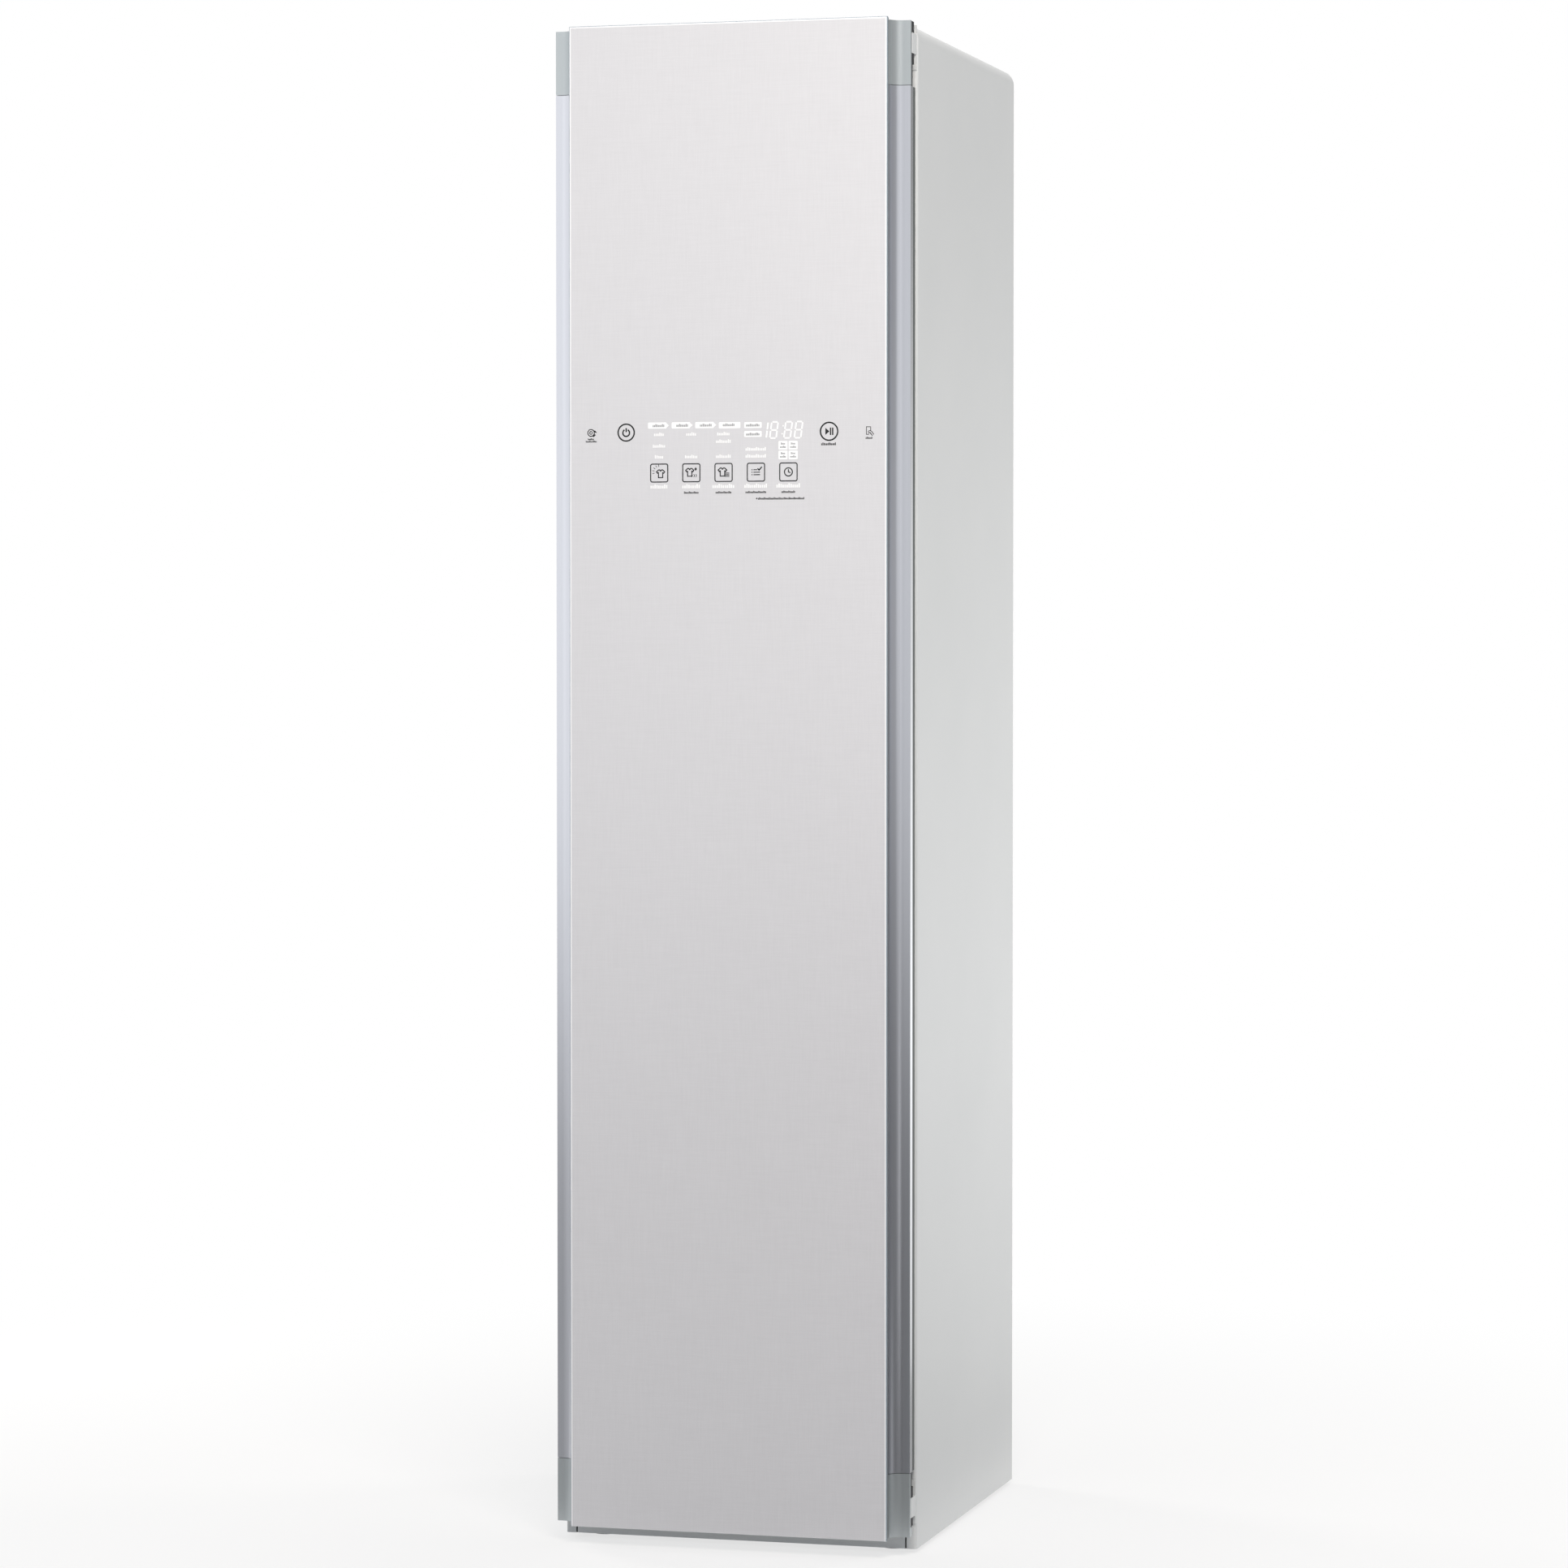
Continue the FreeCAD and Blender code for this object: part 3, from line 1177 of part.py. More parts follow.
def make_connecting_rod():
    """Flat link from the crank pin to the carriage pin."""
    body = new_body("connecting_rod")
    run = "sqrt(link_length * link_length - bar_travel * bar_travel)"
    along = f"({run})"
    bar = outline(body, "XY", LINK_LOW, [
        (f"-({along}) - 2", "bar_travel - 6"), ("-2", "-6"), ("2", "6"),
        (f"-({along}) + 2", "bar_travel + 6")])
    pad(body, bar, "link_thick")
    eyes = circles(body, "XY", LINK_LOW, [("0", "0"), (f"-({along})", "bar_travel")], "9")
    pad(body, eyes, "link_thick")
    bore = circles(body, "XY", f"{LINK_LOW} - 1", [("0", "0"), (f"-({along})", "bar_travel")],
                   "crank_pin + running_gap")
    cut(body, bore, "link_thick + 2", True)
    place(body, "crank_offset", "-bar_travel", "0")


def make_motor_pulley():
    """Small pulley pressed on the motor shaft."""
    body = new_body("motor_pulley")
    rim = "small_pulley"
    turned = outline(body, "XZ", "0", [
        ("0", f"{PULLEY_LOW} - 4"), ("3", f"{PULLEY_LOW} - 4"), ("3", PULLEY_LOW),
        (rim, PULLEY_LOW), (rim, f"{PULLEY_LOW} + 2"),
        (f"{rim} - 2", f"{PULLEY_LOW} + 2"), (f"{rim} - 2", f"{PULLEY_TOP} - 2"),
        (rim, f"{PULLEY_TOP} - 2"), (rim, PULLEY_TOP), ("0", PULLEY_TOP)])
    turn(body, turned, "Z")
    place(body, "crank_offset", MOTOR_Y, "0")


def make_drive_motor():
    """Canned motor on a square flange, bored for the shaft of its pulley."""
    can = rod("Z", "crank_offset", MOTOR_Y, PLATE_TOP, "26", f"{PULLEY_LOW} - 5 - {PLATE_TOP}")
    flange = box("crank_offset - 30", "crank_offset + 30", f"{MOTOR_Y} - 30", f"{MOTOR_Y} + 30",
                 PLATE_TOP, f"{PLATE_TOP} + 3")
    bore = rod("Z", "crank_offset", MOTOR_Y, f"{PULLEY_LOW} - 12", "3 + running_gap", "8")
    less(joined([can, flange]), bore, "drive_motor")


def make_drive_belt():
    """Flat belt between the two pulleys."""
    body = new_body("drive_belt")
    low = f"({PULLEY_LOW} + (pulley_height - belt_width) / 2)"
    inner_big = "(big_pulley - 2 + seat_gap)"
    inner_small = "(small_pulley - 2 + seat_gap)"
    outer = loop_points(f"({inner_big} + belt_thick)", f"({inner_small} + belt_thick)")
    pad(body, outline(body, "XY", low, outer), "belt_width")
    inner = loop_points(inner_big, inner_small)
    cut(body, outline(body, "XY", f"{low} - 1", inner), "belt_width + 2", True)
    place(body, "crank_offset", "0", "0")


def loop_points(big, small):
    """Points of an open-belt loop: two tangent runs and the arcs round both pulleys."""
    lean = f"asin(({big} - {small}) / pulley_centres)"
    x_big = f"({big} * cos({lean}))"
    y_big = f"({big} * sin({lean}))"
    x_small = f"({small} * cos({lean}))"
    y_small = f"(pulley_centres + {small} * sin({lean}))"
    return [(x_big, y_big, big), (x_small, y_small), ("0", f"pulley_centres + {small}", small),
            (f"-{x_small}", y_small, small), (f"-{x_big}", y_big), (f"-{big}", "0", big),
            ("0", f"-{big}", big), (big, "0", big)]


def wedge(foot, crown, half_thick, rise):
    """Roof-shaped block: foot and crown are its half widths, low and high, front to back."""
    block = doc.addObject("Part::Wedge", "Wedge")
    for prefix, width in (("", foot), ("2", crown)):
        for end, sign in (("min", "-"), ("max", "")):
            block.setExpression(f"X{prefix}{end}", bound(f"{sign}({half_thick})"))
            block.setExpression(f"Z{prefix}{end}", bound(f"{sign}({width})"))
    block.setExpression("Ymin", "0")
    block.setExpression("Ymax", bound(rise))
    block.Placement = FreeCAD.Placement(Vector(), FreeCAD.Rotation(Vector(1, 0, 0), 90))
    return block


def make_hangers():
    """Two coat hangers on the bar, shoulders front to back."""
    parts = []
    for x in ("-70", "70"):
        hook_top = BAR_Z
        ring = rod("X", f"{x} - 2.5", "0", hook_top, "bar_radius + 6", "5")
        hole = rod("X", f"{x} - 4", "0", hook_top, "bar_radius + seat_gap", "8")
        mouth = box(f"{x} - 4", f"{x} + 4", "0", "bar_radius + 8", f"{hook_top} - bar_radius - 8",
                    hook_top)
        hook = less(less(ring, hole), mouth)
        stem = box(f"{x} - 2.5", f"{x} + 2.5", "-5", "0", f"{hook_top} - 52",
                   f"{hook_top} - bar_radius - 2")
        shoulders = wedge("hanger_half", "hanger_neck", "6", "hanger_rise")
        place(shoulders, x, "0", f"{hook_top} - hanger_drop")
        void = wedge("hanger_half - 40", "hanger_neck + 8", "10", "hanger_rise - 30")
        place(void, x, "0", f"{hook_top} - hanger_drop + 8")
        parts.append(joined([hook, stem, less(shoulders, void)]))
    joined(parts, "hangers")


make_hanger_bar()
make_slide_rods()
make_drive_plate()
make_drive_pulley()
make_connecting_rod()
make_motor_pulley()
make_drive_motor()
make_drive_belt()
make_hangers()


# ---------------------------------------------------------------- heat pump, fan and steam supply

COIL_X = "-104"
COIL_LOW = f"({BOTTOM} + base_height + 120)"
EVAPORATOR_Y = f"({BAY_BACK} + 20)"
CONDENSER_Y = f"({EVAPORATOR_Y} + coil_thick + coil_gap)"
FAN_Y = f"({CONDENSER_Y} + coil_thick + 16)"
FAN_Z = f"({COIL_LOW} + coil_height / 2)"
SHELL_X = "100"
SHELL_Y = "170"


def make_coil(label, front):
    """Finned heat exchanger: thin plates on four flat cross tubes, with round tube ends."""
    left = f"({COIL_X} - coil_width / 2)"
    fins = 9
    flat = "(coil_thick / 2 - 4)"
    step = f"((coil_width - fin_sheet) / {fins - 1})"
    parts = []
    for index in range(fins):
        x = f"({left} + {step} * {index})"
        parts.append(box(x, f"{x} + fin_sheet", front, f"{front} + coil_thick", COIL_LOW,
                         f"{COIL_LOW} + coil_height"))
    for index in range(4):
        y = f"({front} + coil_thick / 2)"
        z = f"({COIL_LOW} + coil_height * (2 * {index} + 1) / 8)"
        parts.append(box(left, f"{left} + coil_width", f"{y} - {flat}", f"{y} + {flat}",
                         f"{z} - flat_tube / 2", f"{z} + flat_tube / 2"))
        for end, reach in ((f"({left} - 8)", "9"), (f"({left} + coil_width - 1)", "11")):
            parts.append(rod("X", end, y, z, "tube_radius", reach))
    for index in range(2):
        z = f"({COIL_LOW} + coil_height * (4 * {index} + 1) / 8 - tube_radius)"
        parts.append(box(f"({left} - 12)", f"({left} - 6)",
                         f"({front} + coil_thick / 2 - tube_radius)",
                         f"({front} + coil_thick / 2 + tube_radius)", z,
                         f"{z} + coil_height / 4 + 2 * tube_radius"))
    for x in (left, f"({left} + coil_width - 4)"):
        parts.append(box(x, f"{x} + 4", front, f"{front} + coil_thick", BASE_FLOOR,
                         f"{COIL_LOW} + 1"))
    joined(parts, label)


def make_blower_housing():
    """Scroll of the fan: round shell with an inlet eye, an outlet up to the floor grille."""
    body = new_body("blower_housing")
    ring = "(wheel_radius + 14)"
    deep = "(wheel_width + 12)"
    mouth = f"({FLOOR_UNDER} - free_gap - {FAN_Z})"
    shell = circles(body, "XZ", f"-({deep})", [("0", "0")], f"{ring} + 3")
    pad(body, shell, deep)
    duct = rectangle(body, "XZ", f"-({deep})", "-24", f"{ring} + 3", "0", mouth)
    pad(body, duct, deep)
    cavity = circles(body, "XZ", f"-({deep} - 3)", [("0", "0")], ring)
    cut(body, cavity, f"{deep} - 6", True)
    path = rectangle(body, "XZ", f"-({deep} - 3)", "-21", ring, "0", f"{mouth} + 1")
    cut(body, path, f"{deep} - 6", True)
    eye = circles(body, "XZ", "1", [("0", "0")], "wheel_radius - 14")
    cut(body, eye, "8")
    back = circles(body, "XZ", f"-({deep} - 5)", [("0", "0")], "9")
    cut(body, back, "8")
    legs = rectangle(body, "XZ", f"-({deep})", "-50", "50", f"{BASE_FLOOR} - {FAN_Z}",
                     f"-{ring} + 8")
    pad(body, legs, "3")
    place(body, COIL_X, FAN_Y, FAN_Z)


def make_blower_impeller():
    """Squirrel-cage wheel: back plate, hub, front ring and a circle of curved blades."""
    body = new_body("blower_impeller")
    outer = "wheel_radius"
    inner = "(wheel_radius - 12)"
    depth = "wheel_width"
    pad(body, circles(body, "XZ", f"-({depth})", [("0", "0")], outer), "2")
    pad(body, circles(body, "XZ", f"-({depth})", [("0", "0")], "10"), "24")
    shaft = circles(body, "XZ", f"-({depth} + 14)", [("0", "0")], "4")
    pad(body, shaft, "15")
    blade = outline(body, "XZ", f"-({depth} - 1)", [
        (inner, "0"), (f"{outer} - 0.6", "8", "10"), (f"{outer} - 1.6", "9", "1.2"),
        (f"{inner} - 0.6", "1.4", "-11.5")])
    first = pad(body, blade, f"{depth} - 4")
    pattern = body.newObject("PartDesign::PolarPattern", "Blades")
    pattern.Originals = [first]
    pattern.Axis = (origin_feature(body, "Y_Axis"), [""])
    pattern.Angle = 360
    pattern.setExpression("Occurrences", bound("blade_count"))
    body.Tip = pattern
    doc.recompute()
    front = new_sketch(body, "XZ", "-4")
    for radius in (outer, f"{inner} + 3"):
        index = front.addGeometry(Part.Circle(Vector(), Vector(0, 0, 1), number(radius)), False)
        front.addConstraint(Sketcher.Constraint("Coincident", index, 3, -1, 1))
        rule = front.addConstraint(Sketcher.Constraint("Radius", index, number(radius)))
        front.setExpression(f"Constraints[{rule}]", bound(radius))
    pad(body, front, "2")
    place(body, COIL_X, f"({FAN_Y} + 5)", FAN_Z)


def make_blower_motor():
    """Motor behind the scroll, bored for the impeller shaft."""
    y = f"({FAN_Y} + wheel_width + 12 + seat_gap)"
    can = rod("Y", COIL_X, y, FAN_Z, "30", "30")
    bore = rod("Y", COIL_X, f"{y} - 1", FAN_Z, "4 + running_gap", "12")
    less(can, bore, "blower_motor")


def make_compressor():
    """Hermetic compressor: domed steel shell on a foot plate, with two pipe stubs."""
    body = new_body("compressor")
    radius = "shell_radius"
    dome = "18"
    foot = "12"
    top = f"({foot} + shell_height)"
    can = outline(body, "XZ", "0", [
        ("0", foot), (f"{radius} - {dome}", foot), (radius, f"{foot} + {dome}", dome),
        (radius, f"{top} - {dome}"), (f"{radius} - {dome}", top, dome), ("0", top)])
    turn(body, can, "Z")
    weld = outline(body, "XZ", "0", [
        (f"{radius} - 1", f"{top} * 0.55"), (f"{radius} + 1.5", f"{top} * 0.55"),
        (f"{radius} + 1.5", f"{top} * 0.55 + 4"), (f"{radius} - 1", f"{top} * 0.55 + 4")])
    turn(body, weld, "Z")
    plate = rectangle(body, "XY", "8", f"-({radius} + 12)", f"{radius} + 12", "-46", "46")
    pad(body, plate, "6")
    stubs = circles(body, "XY", f"{top} - 8", [("-26", "0"), ("26", "0")], "tube_radius")
    pad(body, stubs, "22")
    place(body, SHELL_X, SHELL_Y, BASE_FLOOR)


def make_compressor_grommets():
    """Four rubber mounts under the compressor's foot plate."""
    parts = []
    for x in ("-56", "56"):
        for y in ("-34", "34"):
            parts.append(rod("Z", f"{SHELL_X} + ({x})", f"{SHELL_Y} + ({y})", BASE_FLOOR, "9", "8"))
    joined(parts, "compressor_grommets")


def tube_run(points, radius, corner):
    """Round tube along straight runs joined by tangent bends of one radius."""
    edges = []
    start = points[0]
    for index in range(1, len(points) - 1):
        spot = points[index]
        arriving = (spot - points[index - 1]).normalize()
        leaving = (points[index + 1] - spot).normalize()
        turn_angle = arriving.getAngle(leaving)
        setback = corner * math.tan(turn_angle / 2)
        first = spot - arriving * setback
        last = spot + leaving * setback
        inward = (leaving - arriving).normalize()
        centre = spot + inward * (corner / math.cos(turn_angle / 2))
        middle = centre - inward * corner
        edges.append(Part.LineSegment(start, first).toShape())
        edges.append(Part.Arc(first, middle, last).toShape())
        start = last
    edges.append(Part.LineSegment(start, points[-1]).toShape())
    path = Part.Wire(edges)
    ring = Part.Circle(points[0], (points[1] - points[0]).normalize(), radius).toShape()
    tube = path.makePipeShell([Part.Wire(ring)], True, True)
    return tube


def make_refrigerant_pipes():
    """Copper pipes: compressor to condenser, and evaporator back to the compressor."""
    shell_x = number(SHELL_X)
    shell_y = number(SHELL_Y)
    shell_z = number(f"{BASE_FLOOR} + 12 + shell_height + 14 + seat_gap")
    coil_end = number(f"({COIL_X} + coil_width / 2 + 10 + seat_gap)")
    radius = number("tube_radius")
    coils = doc.addObject("Part::Feature", "refrigerant_pipes")
    shapes = []
    for stub, front, level, crest in ((-26, CONDENSER_Y, 1, 34), (26, EVAPORATOR_Y, 3, 54)):
        y = number(f"{front} + coil_thick / 2")
        z = number(f"{COIL_LOW} + coil_height * {2 * level + 1} / 8")
        route = [Vector(shell_x + stub, shell_y, shell_z),
                 Vector(shell_x + stub, shell_y, shell_z + crest),
                 Vector(shell_x + stub, y, shell_z + crest),
                 Vector(coil_end + 22, y, shell_z + crest),
                 Vector(coil_end + 22, y, z),
                 Vector(coil_end, y, z)]
        shapes.append(tube_run(route, radius, 9))
    coils.Shape = Part.makeCompound(shapes)
    keep(coils, "refrigerant_pipes")


def make_steam_generator():
    """Boiler: rounded tank with a flanged lid, heater terminals and an outlet stub."""
    body = new_body("steam_generator")
    half = "(boiler_length / 2)"
    wide = "(boiler_width / 2)"
    pad(body, rectangle(body, "XY", "0", f"-{half}", half, f"-{wide}", wide), "boiler_height")
    round_edges(body, "16", lambda edge: runs_along(edge, "z"))
    lid = rectangle(body, "XY", "boiler_height * 0.7", f"-({half} + 5)", f"{half} + 5",
                    f"-({wide} + 5)", f"{wide} + 5")
    pad(body, lid, "5")
    outlet = circles(body, "XY", "boiler_height - 1", [("40", "10")], "7")
    pad(body, outlet, "16")
    heater = circles(body, "YZ", f"{half} - 1", [("-16", "24"), ("16", "24")], "4")
    pad(body, heater, "14")
    place(body, "104", f"({BAY_BACK} + 64)", BASE_FLOOR)


def make_steam_nozzle():
    """Steam outlet: bent hose from the boiler up to the underside of the chamber floor."""
    nozzle = doc.addObject("Part::Feature", "steam_nozzle")
    x = number("104 + 40")
    y = number(f"({BAY_BACK} + 64) + 10")
    low = number(f"{BASE_FLOOR} + boiler_height + 15 + seat_gap")
    high = number(f"{FLOOR_UNDER} - seat_gap")
    route = [Vector(x, y, low), Vector(x, y, (low + high) / 2),
             Vector(x + 24, y - 6, (low + high) / 2 + 24), Vector(x + 24, y - 6, high)]
    nozzle.Shape = tube_run(route, 7, 14)
    keep(nozzle, "steam_nozzle")


def make_water_pumps():
    """Supply pump and drain pump: two short cans that lie on the tray behind the tank bay."""
    parts = []
    for x in ("-120", "-60"):
        y = f"({BAY_BACK} + base_wall + seat_gap)"
        z = f"({BASE_FLOOR} + 19 + seat_gap)"
        can = rod("Y", x, y, z, "19", "14")
        tail = rod("Y", x, f"{y} + 13", z, "15", "5")
        parts.append(joined([can, tail]))
    joined(parts, "water_pumps")


def make_control_board():
    """Main electronics: tray with a circuit board, transformer and heat sink."""
    x = "-176"
    y = f"({CHAMBER_BACK} - 97.5)"
    tray = box(x, f"{x} + 120", y, f"{y} + 96", LINER_TOP, f"{LINER_TOP} + 4")
    board = box(f"{x} + 5", f"{x} + 115", f"{y} + 5", f"{y} + 91", f"{LINER_TOP} + 4",
                f"{LINER_TOP} + 6")
    core = box(f"{x} + 14", f"{x} + 50", f"{y} + 14", f"{y} + 50", f"{LINER_TOP} + 6",
               f"{LINER_TOP} + 34")
    sink = box(f"{x} + 70", f"{x} + 104", f"{y} + 20", f"{y} + 74", f"{LINER_TOP} + 6",
               f"{LINER_TOP} + 28")
    joined([tray, board, core, sink], "control_board")


def make_power_inlet():
    """Strain-relief gland of the mains lead in the rear cover."""
    body = new_body("power_inlet")
    shape = outline(body, "XZ", "0", [
        ("0", "-16"), ("9", "-16"), ("12", "-4"), ("12", "-cover_sheet"), ("16", "-cover_sheet"),
        ("16", "0"), ("9", "seat_gap"), ("0", "seat_gap")])
    turn(body, shape, "Z")
    body.Placement = FreeCAD.Placement(Vector(), FreeCAD.Rotation(Vector(1, 0, 0), -90))
    place(body, "150", f"({COVER_FACE} + cover_sheet + seat_gap / 3)", f"({BOTTOM} + 60)")


make_coil("evaporator", EVAPORATOR_Y)
make_coil("condenser", CONDENSER_Y)
make_blower_housing()
make_blower_impeller()
make_blower_motor()
make_compressor()
make_compressor_grommets()
make_refrigerant_pipes()
make_steam_generator()
make_steam_nozzle()
make_water_pumps()
make_control_board()
make_power_inlet()


# ---------------------------------------------------------------- checks and export

doc.recompute()
for item in doc.Objects:
    if "Invalid" in item.State or "Error" in item.State:
        raise ValueError(f"{item.Label} ({item.Name}) failed: {item.State}")
for label, item in pieces.items():
    if item.Shape.isNull() or not item.Shape.isValid() or not item.Shape.Solids:
        raise ValueError(f"{label} has no valid shape")
os.makedirs("parts", exist_ok=True)
for label, item in pieces.items():
    item.Shape.exportStep(os.path.join("parts", f"{label}.step"))
print(len(pieces), "pieces")
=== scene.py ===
"""Looks of the clothes care steam cabinet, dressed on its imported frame.

Metres, +Z up, the door to -Y.
"""
import math
import bmesh
import bpy
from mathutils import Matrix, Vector, noise


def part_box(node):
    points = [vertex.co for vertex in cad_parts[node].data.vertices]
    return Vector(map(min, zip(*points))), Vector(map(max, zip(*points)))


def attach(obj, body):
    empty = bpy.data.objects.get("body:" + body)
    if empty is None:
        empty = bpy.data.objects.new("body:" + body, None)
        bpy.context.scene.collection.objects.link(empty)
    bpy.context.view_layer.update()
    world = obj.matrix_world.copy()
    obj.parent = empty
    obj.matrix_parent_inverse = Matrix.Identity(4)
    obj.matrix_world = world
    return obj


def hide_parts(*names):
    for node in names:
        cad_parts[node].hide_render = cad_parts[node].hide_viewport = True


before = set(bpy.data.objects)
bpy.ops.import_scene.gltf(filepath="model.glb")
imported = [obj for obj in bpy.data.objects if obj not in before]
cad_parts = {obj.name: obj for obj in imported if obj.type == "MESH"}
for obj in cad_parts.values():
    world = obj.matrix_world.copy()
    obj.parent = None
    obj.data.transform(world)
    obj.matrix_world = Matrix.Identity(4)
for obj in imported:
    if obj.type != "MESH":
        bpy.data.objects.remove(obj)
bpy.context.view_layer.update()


# -------------------------------- outer case
# One bent steel sheet forms both sides and the top; the kick strip and the two light hinge
# brackets are painted with it.  Polyester powder coat, baked on: an even satin grey with the
# faint orange peel of the spray.

MM = 0.001


def linear(code):
    """sRGB hex colour as linear light, with alpha."""
    channels = [int(code[start:start + 2], 16) / 255 for start in (1, 3, 5)]
    return [c / 12.92 if c <= 0.04045 else ((c + 0.055) / 1.055) ** 2.4 for c in channels] + [1.0]


def add(tree, kind, inputs=None, **settings):
    """Add one node with its settings; an input takes a value, a socket or a node's first output."""
    node = tree.nodes.new(kind)
    for name, value in settings.items():
        setattr(node, name, value)
    for key, value in (inputs or {}).items():
        if isinstance(value, bpy.types.Node):
            value = value.outputs[0]
        if isinstance(value, bpy.types.NodeSocket):
            tree.links.new(value, node.inputs[key])
        else:
            node.inputs[key].default_value = value
    return node


def empty_material(name):
    """New material, its empty tree and the place on the object."""
    material = bpy.data.materials.new(name)
    material.use_nodes = True
    tree = material.node_tree
    tree.nodes.clear()
    return material, tree, add(tree, "ShaderNodeTexCoord").outputs["Object"]


def close_material(tree, tint, rough, height, depth, strength, shader=None, invert=False):
    """End of a material: that height as a relief of this depth in metres, under one shader."""
    bump = add(tree, "ShaderNodeBump",
               {"Height": height, "Distance": depth, "Strength": strength}, invert=invert)
    body = add(tree, "ShaderNodeBsdfPrincipled",
               {"Base Color": tint.outputs[2], "Roughness": rough, "Normal": bump,
                **(shader or {})})
    add(tree, "ShaderNodeOutputMaterial", {"Surface": body})


def surface(name, pale, dark, rough, grain, relief, stretch=(1, 1, 1), shader=None):
    """Finish whose colour and gloss wander a little over a fine relief; grain and relief in mm."""
    material, tree, place = empty_material(name)
    lay = add(tree, "ShaderNodeMapping", {"Vector": place, "Scale": stretch})
    cloud = add(tree, "ShaderNodeTexNoise", {"Vector": place, "Scale": 5.0, "Detail": 3.0})
    fine = add(tree, "ShaderNodeTexNoise",
               {"Vector": lay, "Scale": 1 / (grain * MM), "Detail": 2.0})
    blend = add(tree, "ShaderNodeMath", {0: fine, 1: 0.5, 2: -0.25}, operation="MULTIPLY_ADD")
    both = add(tree, "ShaderNodeMath", {0: cloud, 1: blend}, operation="ADD", use_clamp=True)
    tint = add(tree, "ShaderNodeMix", {0: both, 6: linear(pale), 7: linear(dark)},
               data_type="RGBA")
    gloss = add(tree, "ShaderNodeMapRange",
                {"Value": fine, "To Min": rough - 0.06, "To Max": rough + 0.06})
    close_material(tree, tint, gloss, fine, relief * MM, 1.0, shader)
    return material


def dress(material, *nodes):
    """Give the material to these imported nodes."""
    for name in nodes:
        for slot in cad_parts[name].material_slots:
            slot.material = material


powder_coat = surface("powder_coated_steel", "#CBCDCE", "#C4C7C8", 0.42, 1.6, 0.012)
dress(powder_coat, "outer_case", "kick_plate", "upper_hinge_bracket", "lower_hinge_bracket")


# -------------------------------- rear cover and its screws
# A galvanised sheet, left bare because it stands to the wall, with pan-head screws along both
# sides.  Hot-dip zinc: dull grey crystals about 9 mm across, each with its own brightness.

def spangled(name, pale, dark, spangle, rough):
    """Hot-dip zinc: crystals of that size in mm, each with its own tone and gloss."""
    material, tree, place = empty_material(name)
    crystal = add(tree, "ShaderNodeTexVoronoi", {"Vector": place, "Scale": 1 / (spangle * MM)})
    grey = add(tree, "ShaderNodeSeparateColor", {0: crystal.outputs["Color"]})
    tint = add(tree, "ShaderNodeMix", {0: grey, 6: linear(pale), 7: linear(dark)},
               data_type="RGBA")
    gloss = add(tree, "ShaderNodeMapRange",
                {"Value": grey.outputs[1], "To Min": rough - 0.08, "To Max": rough + 0.1})
    close_material(tree, tint, gloss, grey.outputs[2], 0.01 * MM, 0.6, {"Metallic": 0.85})
    return material


zinc_sheet = spangled("hot_dip_galvanised_sheet", "#B4B8BA", "#A3A8AB", 9, 0.44)
dress(zinc_sheet, "rear_cover", "drive_plate", "connecting_rod")
# Bright zinc plating: a cool grey that mirrors softly.
screw_zinc = surface("bright_zinc_plating", "#C4C6C2", "#AEB1AF", 0.3, 0.8, 0.01,
                     shader={"Metallic": 1.0})


def sized_tree(name, sizes):
    """Empty geometry tree; its inputs are the points and one named number for each size."""
    tree = bpy.data.node_groups.new(name, "GeometryNodeTree")
    tree.interface.new_socket("Points", in_out="INPUT", socket_type="NodeSocketGeometry")
    tree.interface.new_socket("Result", in_out="OUTPUT", socket_type="NodeSocketGeometry")
    for label, value in sizes.items():
        kind = "NodeSocketInt" if isinstance(value, int) else "NodeSocketFloat"
        tree.interface.new_socket(label, in_out="INPUT", socket_type=kind).default_value = value
    return tree, tree.nodes.new("NodeGroupInput").outputs


def close_tree(tree, given, instance, material, turn=(0, 0, 0)):
    """Last nodes of a tree: the instance on every point, made real, in one material."""
    places = add(tree, "GeometryNodeInstanceOnPoints",
                 {"Points": given["Points"], "Instance": instance, "Rotation": turn})
    real = add(tree, "GeometryNodeRealizeInstances", {0: places})
    coat = add(tree, "GeometryNodeSetMaterial", {0: real, "Material": material})
    add(tree, "NodeGroupOutput", {0: coat})
    return tree


def linked(name, data):
    """Object of this data, put in the scene."""
    thing = bpy.data.objects.new(name, data)
    bpy.context.scene.collection.objects.link(thing)
    return thing


def fasten(piece, body):
    """Let the piece ride on that body."""
    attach(piece, body)
    return piece


def grow(name, tree, sizes, points, body):
    """Run the tree once on these points and keep what it makes as a plain mesh on that body."""
    data = bpy.data.meshes.new(name)
    data.from_pydata(points, [], [])
    piece = linked(name, data)
    modifier = piece.modifiers.new("grow", "NODES")
    modifier.node_group = tree
    for item in tree.interface.items_tree:
        if item.in_out == "INPUT" and item.name in sizes:
            modifier[item.identifier] = sizes[item.name]
    done = piece.evaluated_get(bpy.context.evaluated_depsgraph_get())
    result = bpy.data.meshes.new_from_object(done)
    piece.modifiers.remove(modifier)
    piece.data = result
    return fasten(piece, body)


def solid_spots(node, reach):
    """Centre (x, z) of each small solid of a node; solids stand further apart than reach."""
    groups = []
    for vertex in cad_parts[node].data.vertices:
        x, z = vertex.co.x, vertex.co.z
        for group in groups:
            if abs(group[0][0] - x) < reach and abs(group[0][1] - z) < reach:
                group.append((x, z))
                break
        else:
            groups.append([(x, z)])
    return [[(min(places) + max(places)) / 2 for places in zip(*group)] for group in groups]


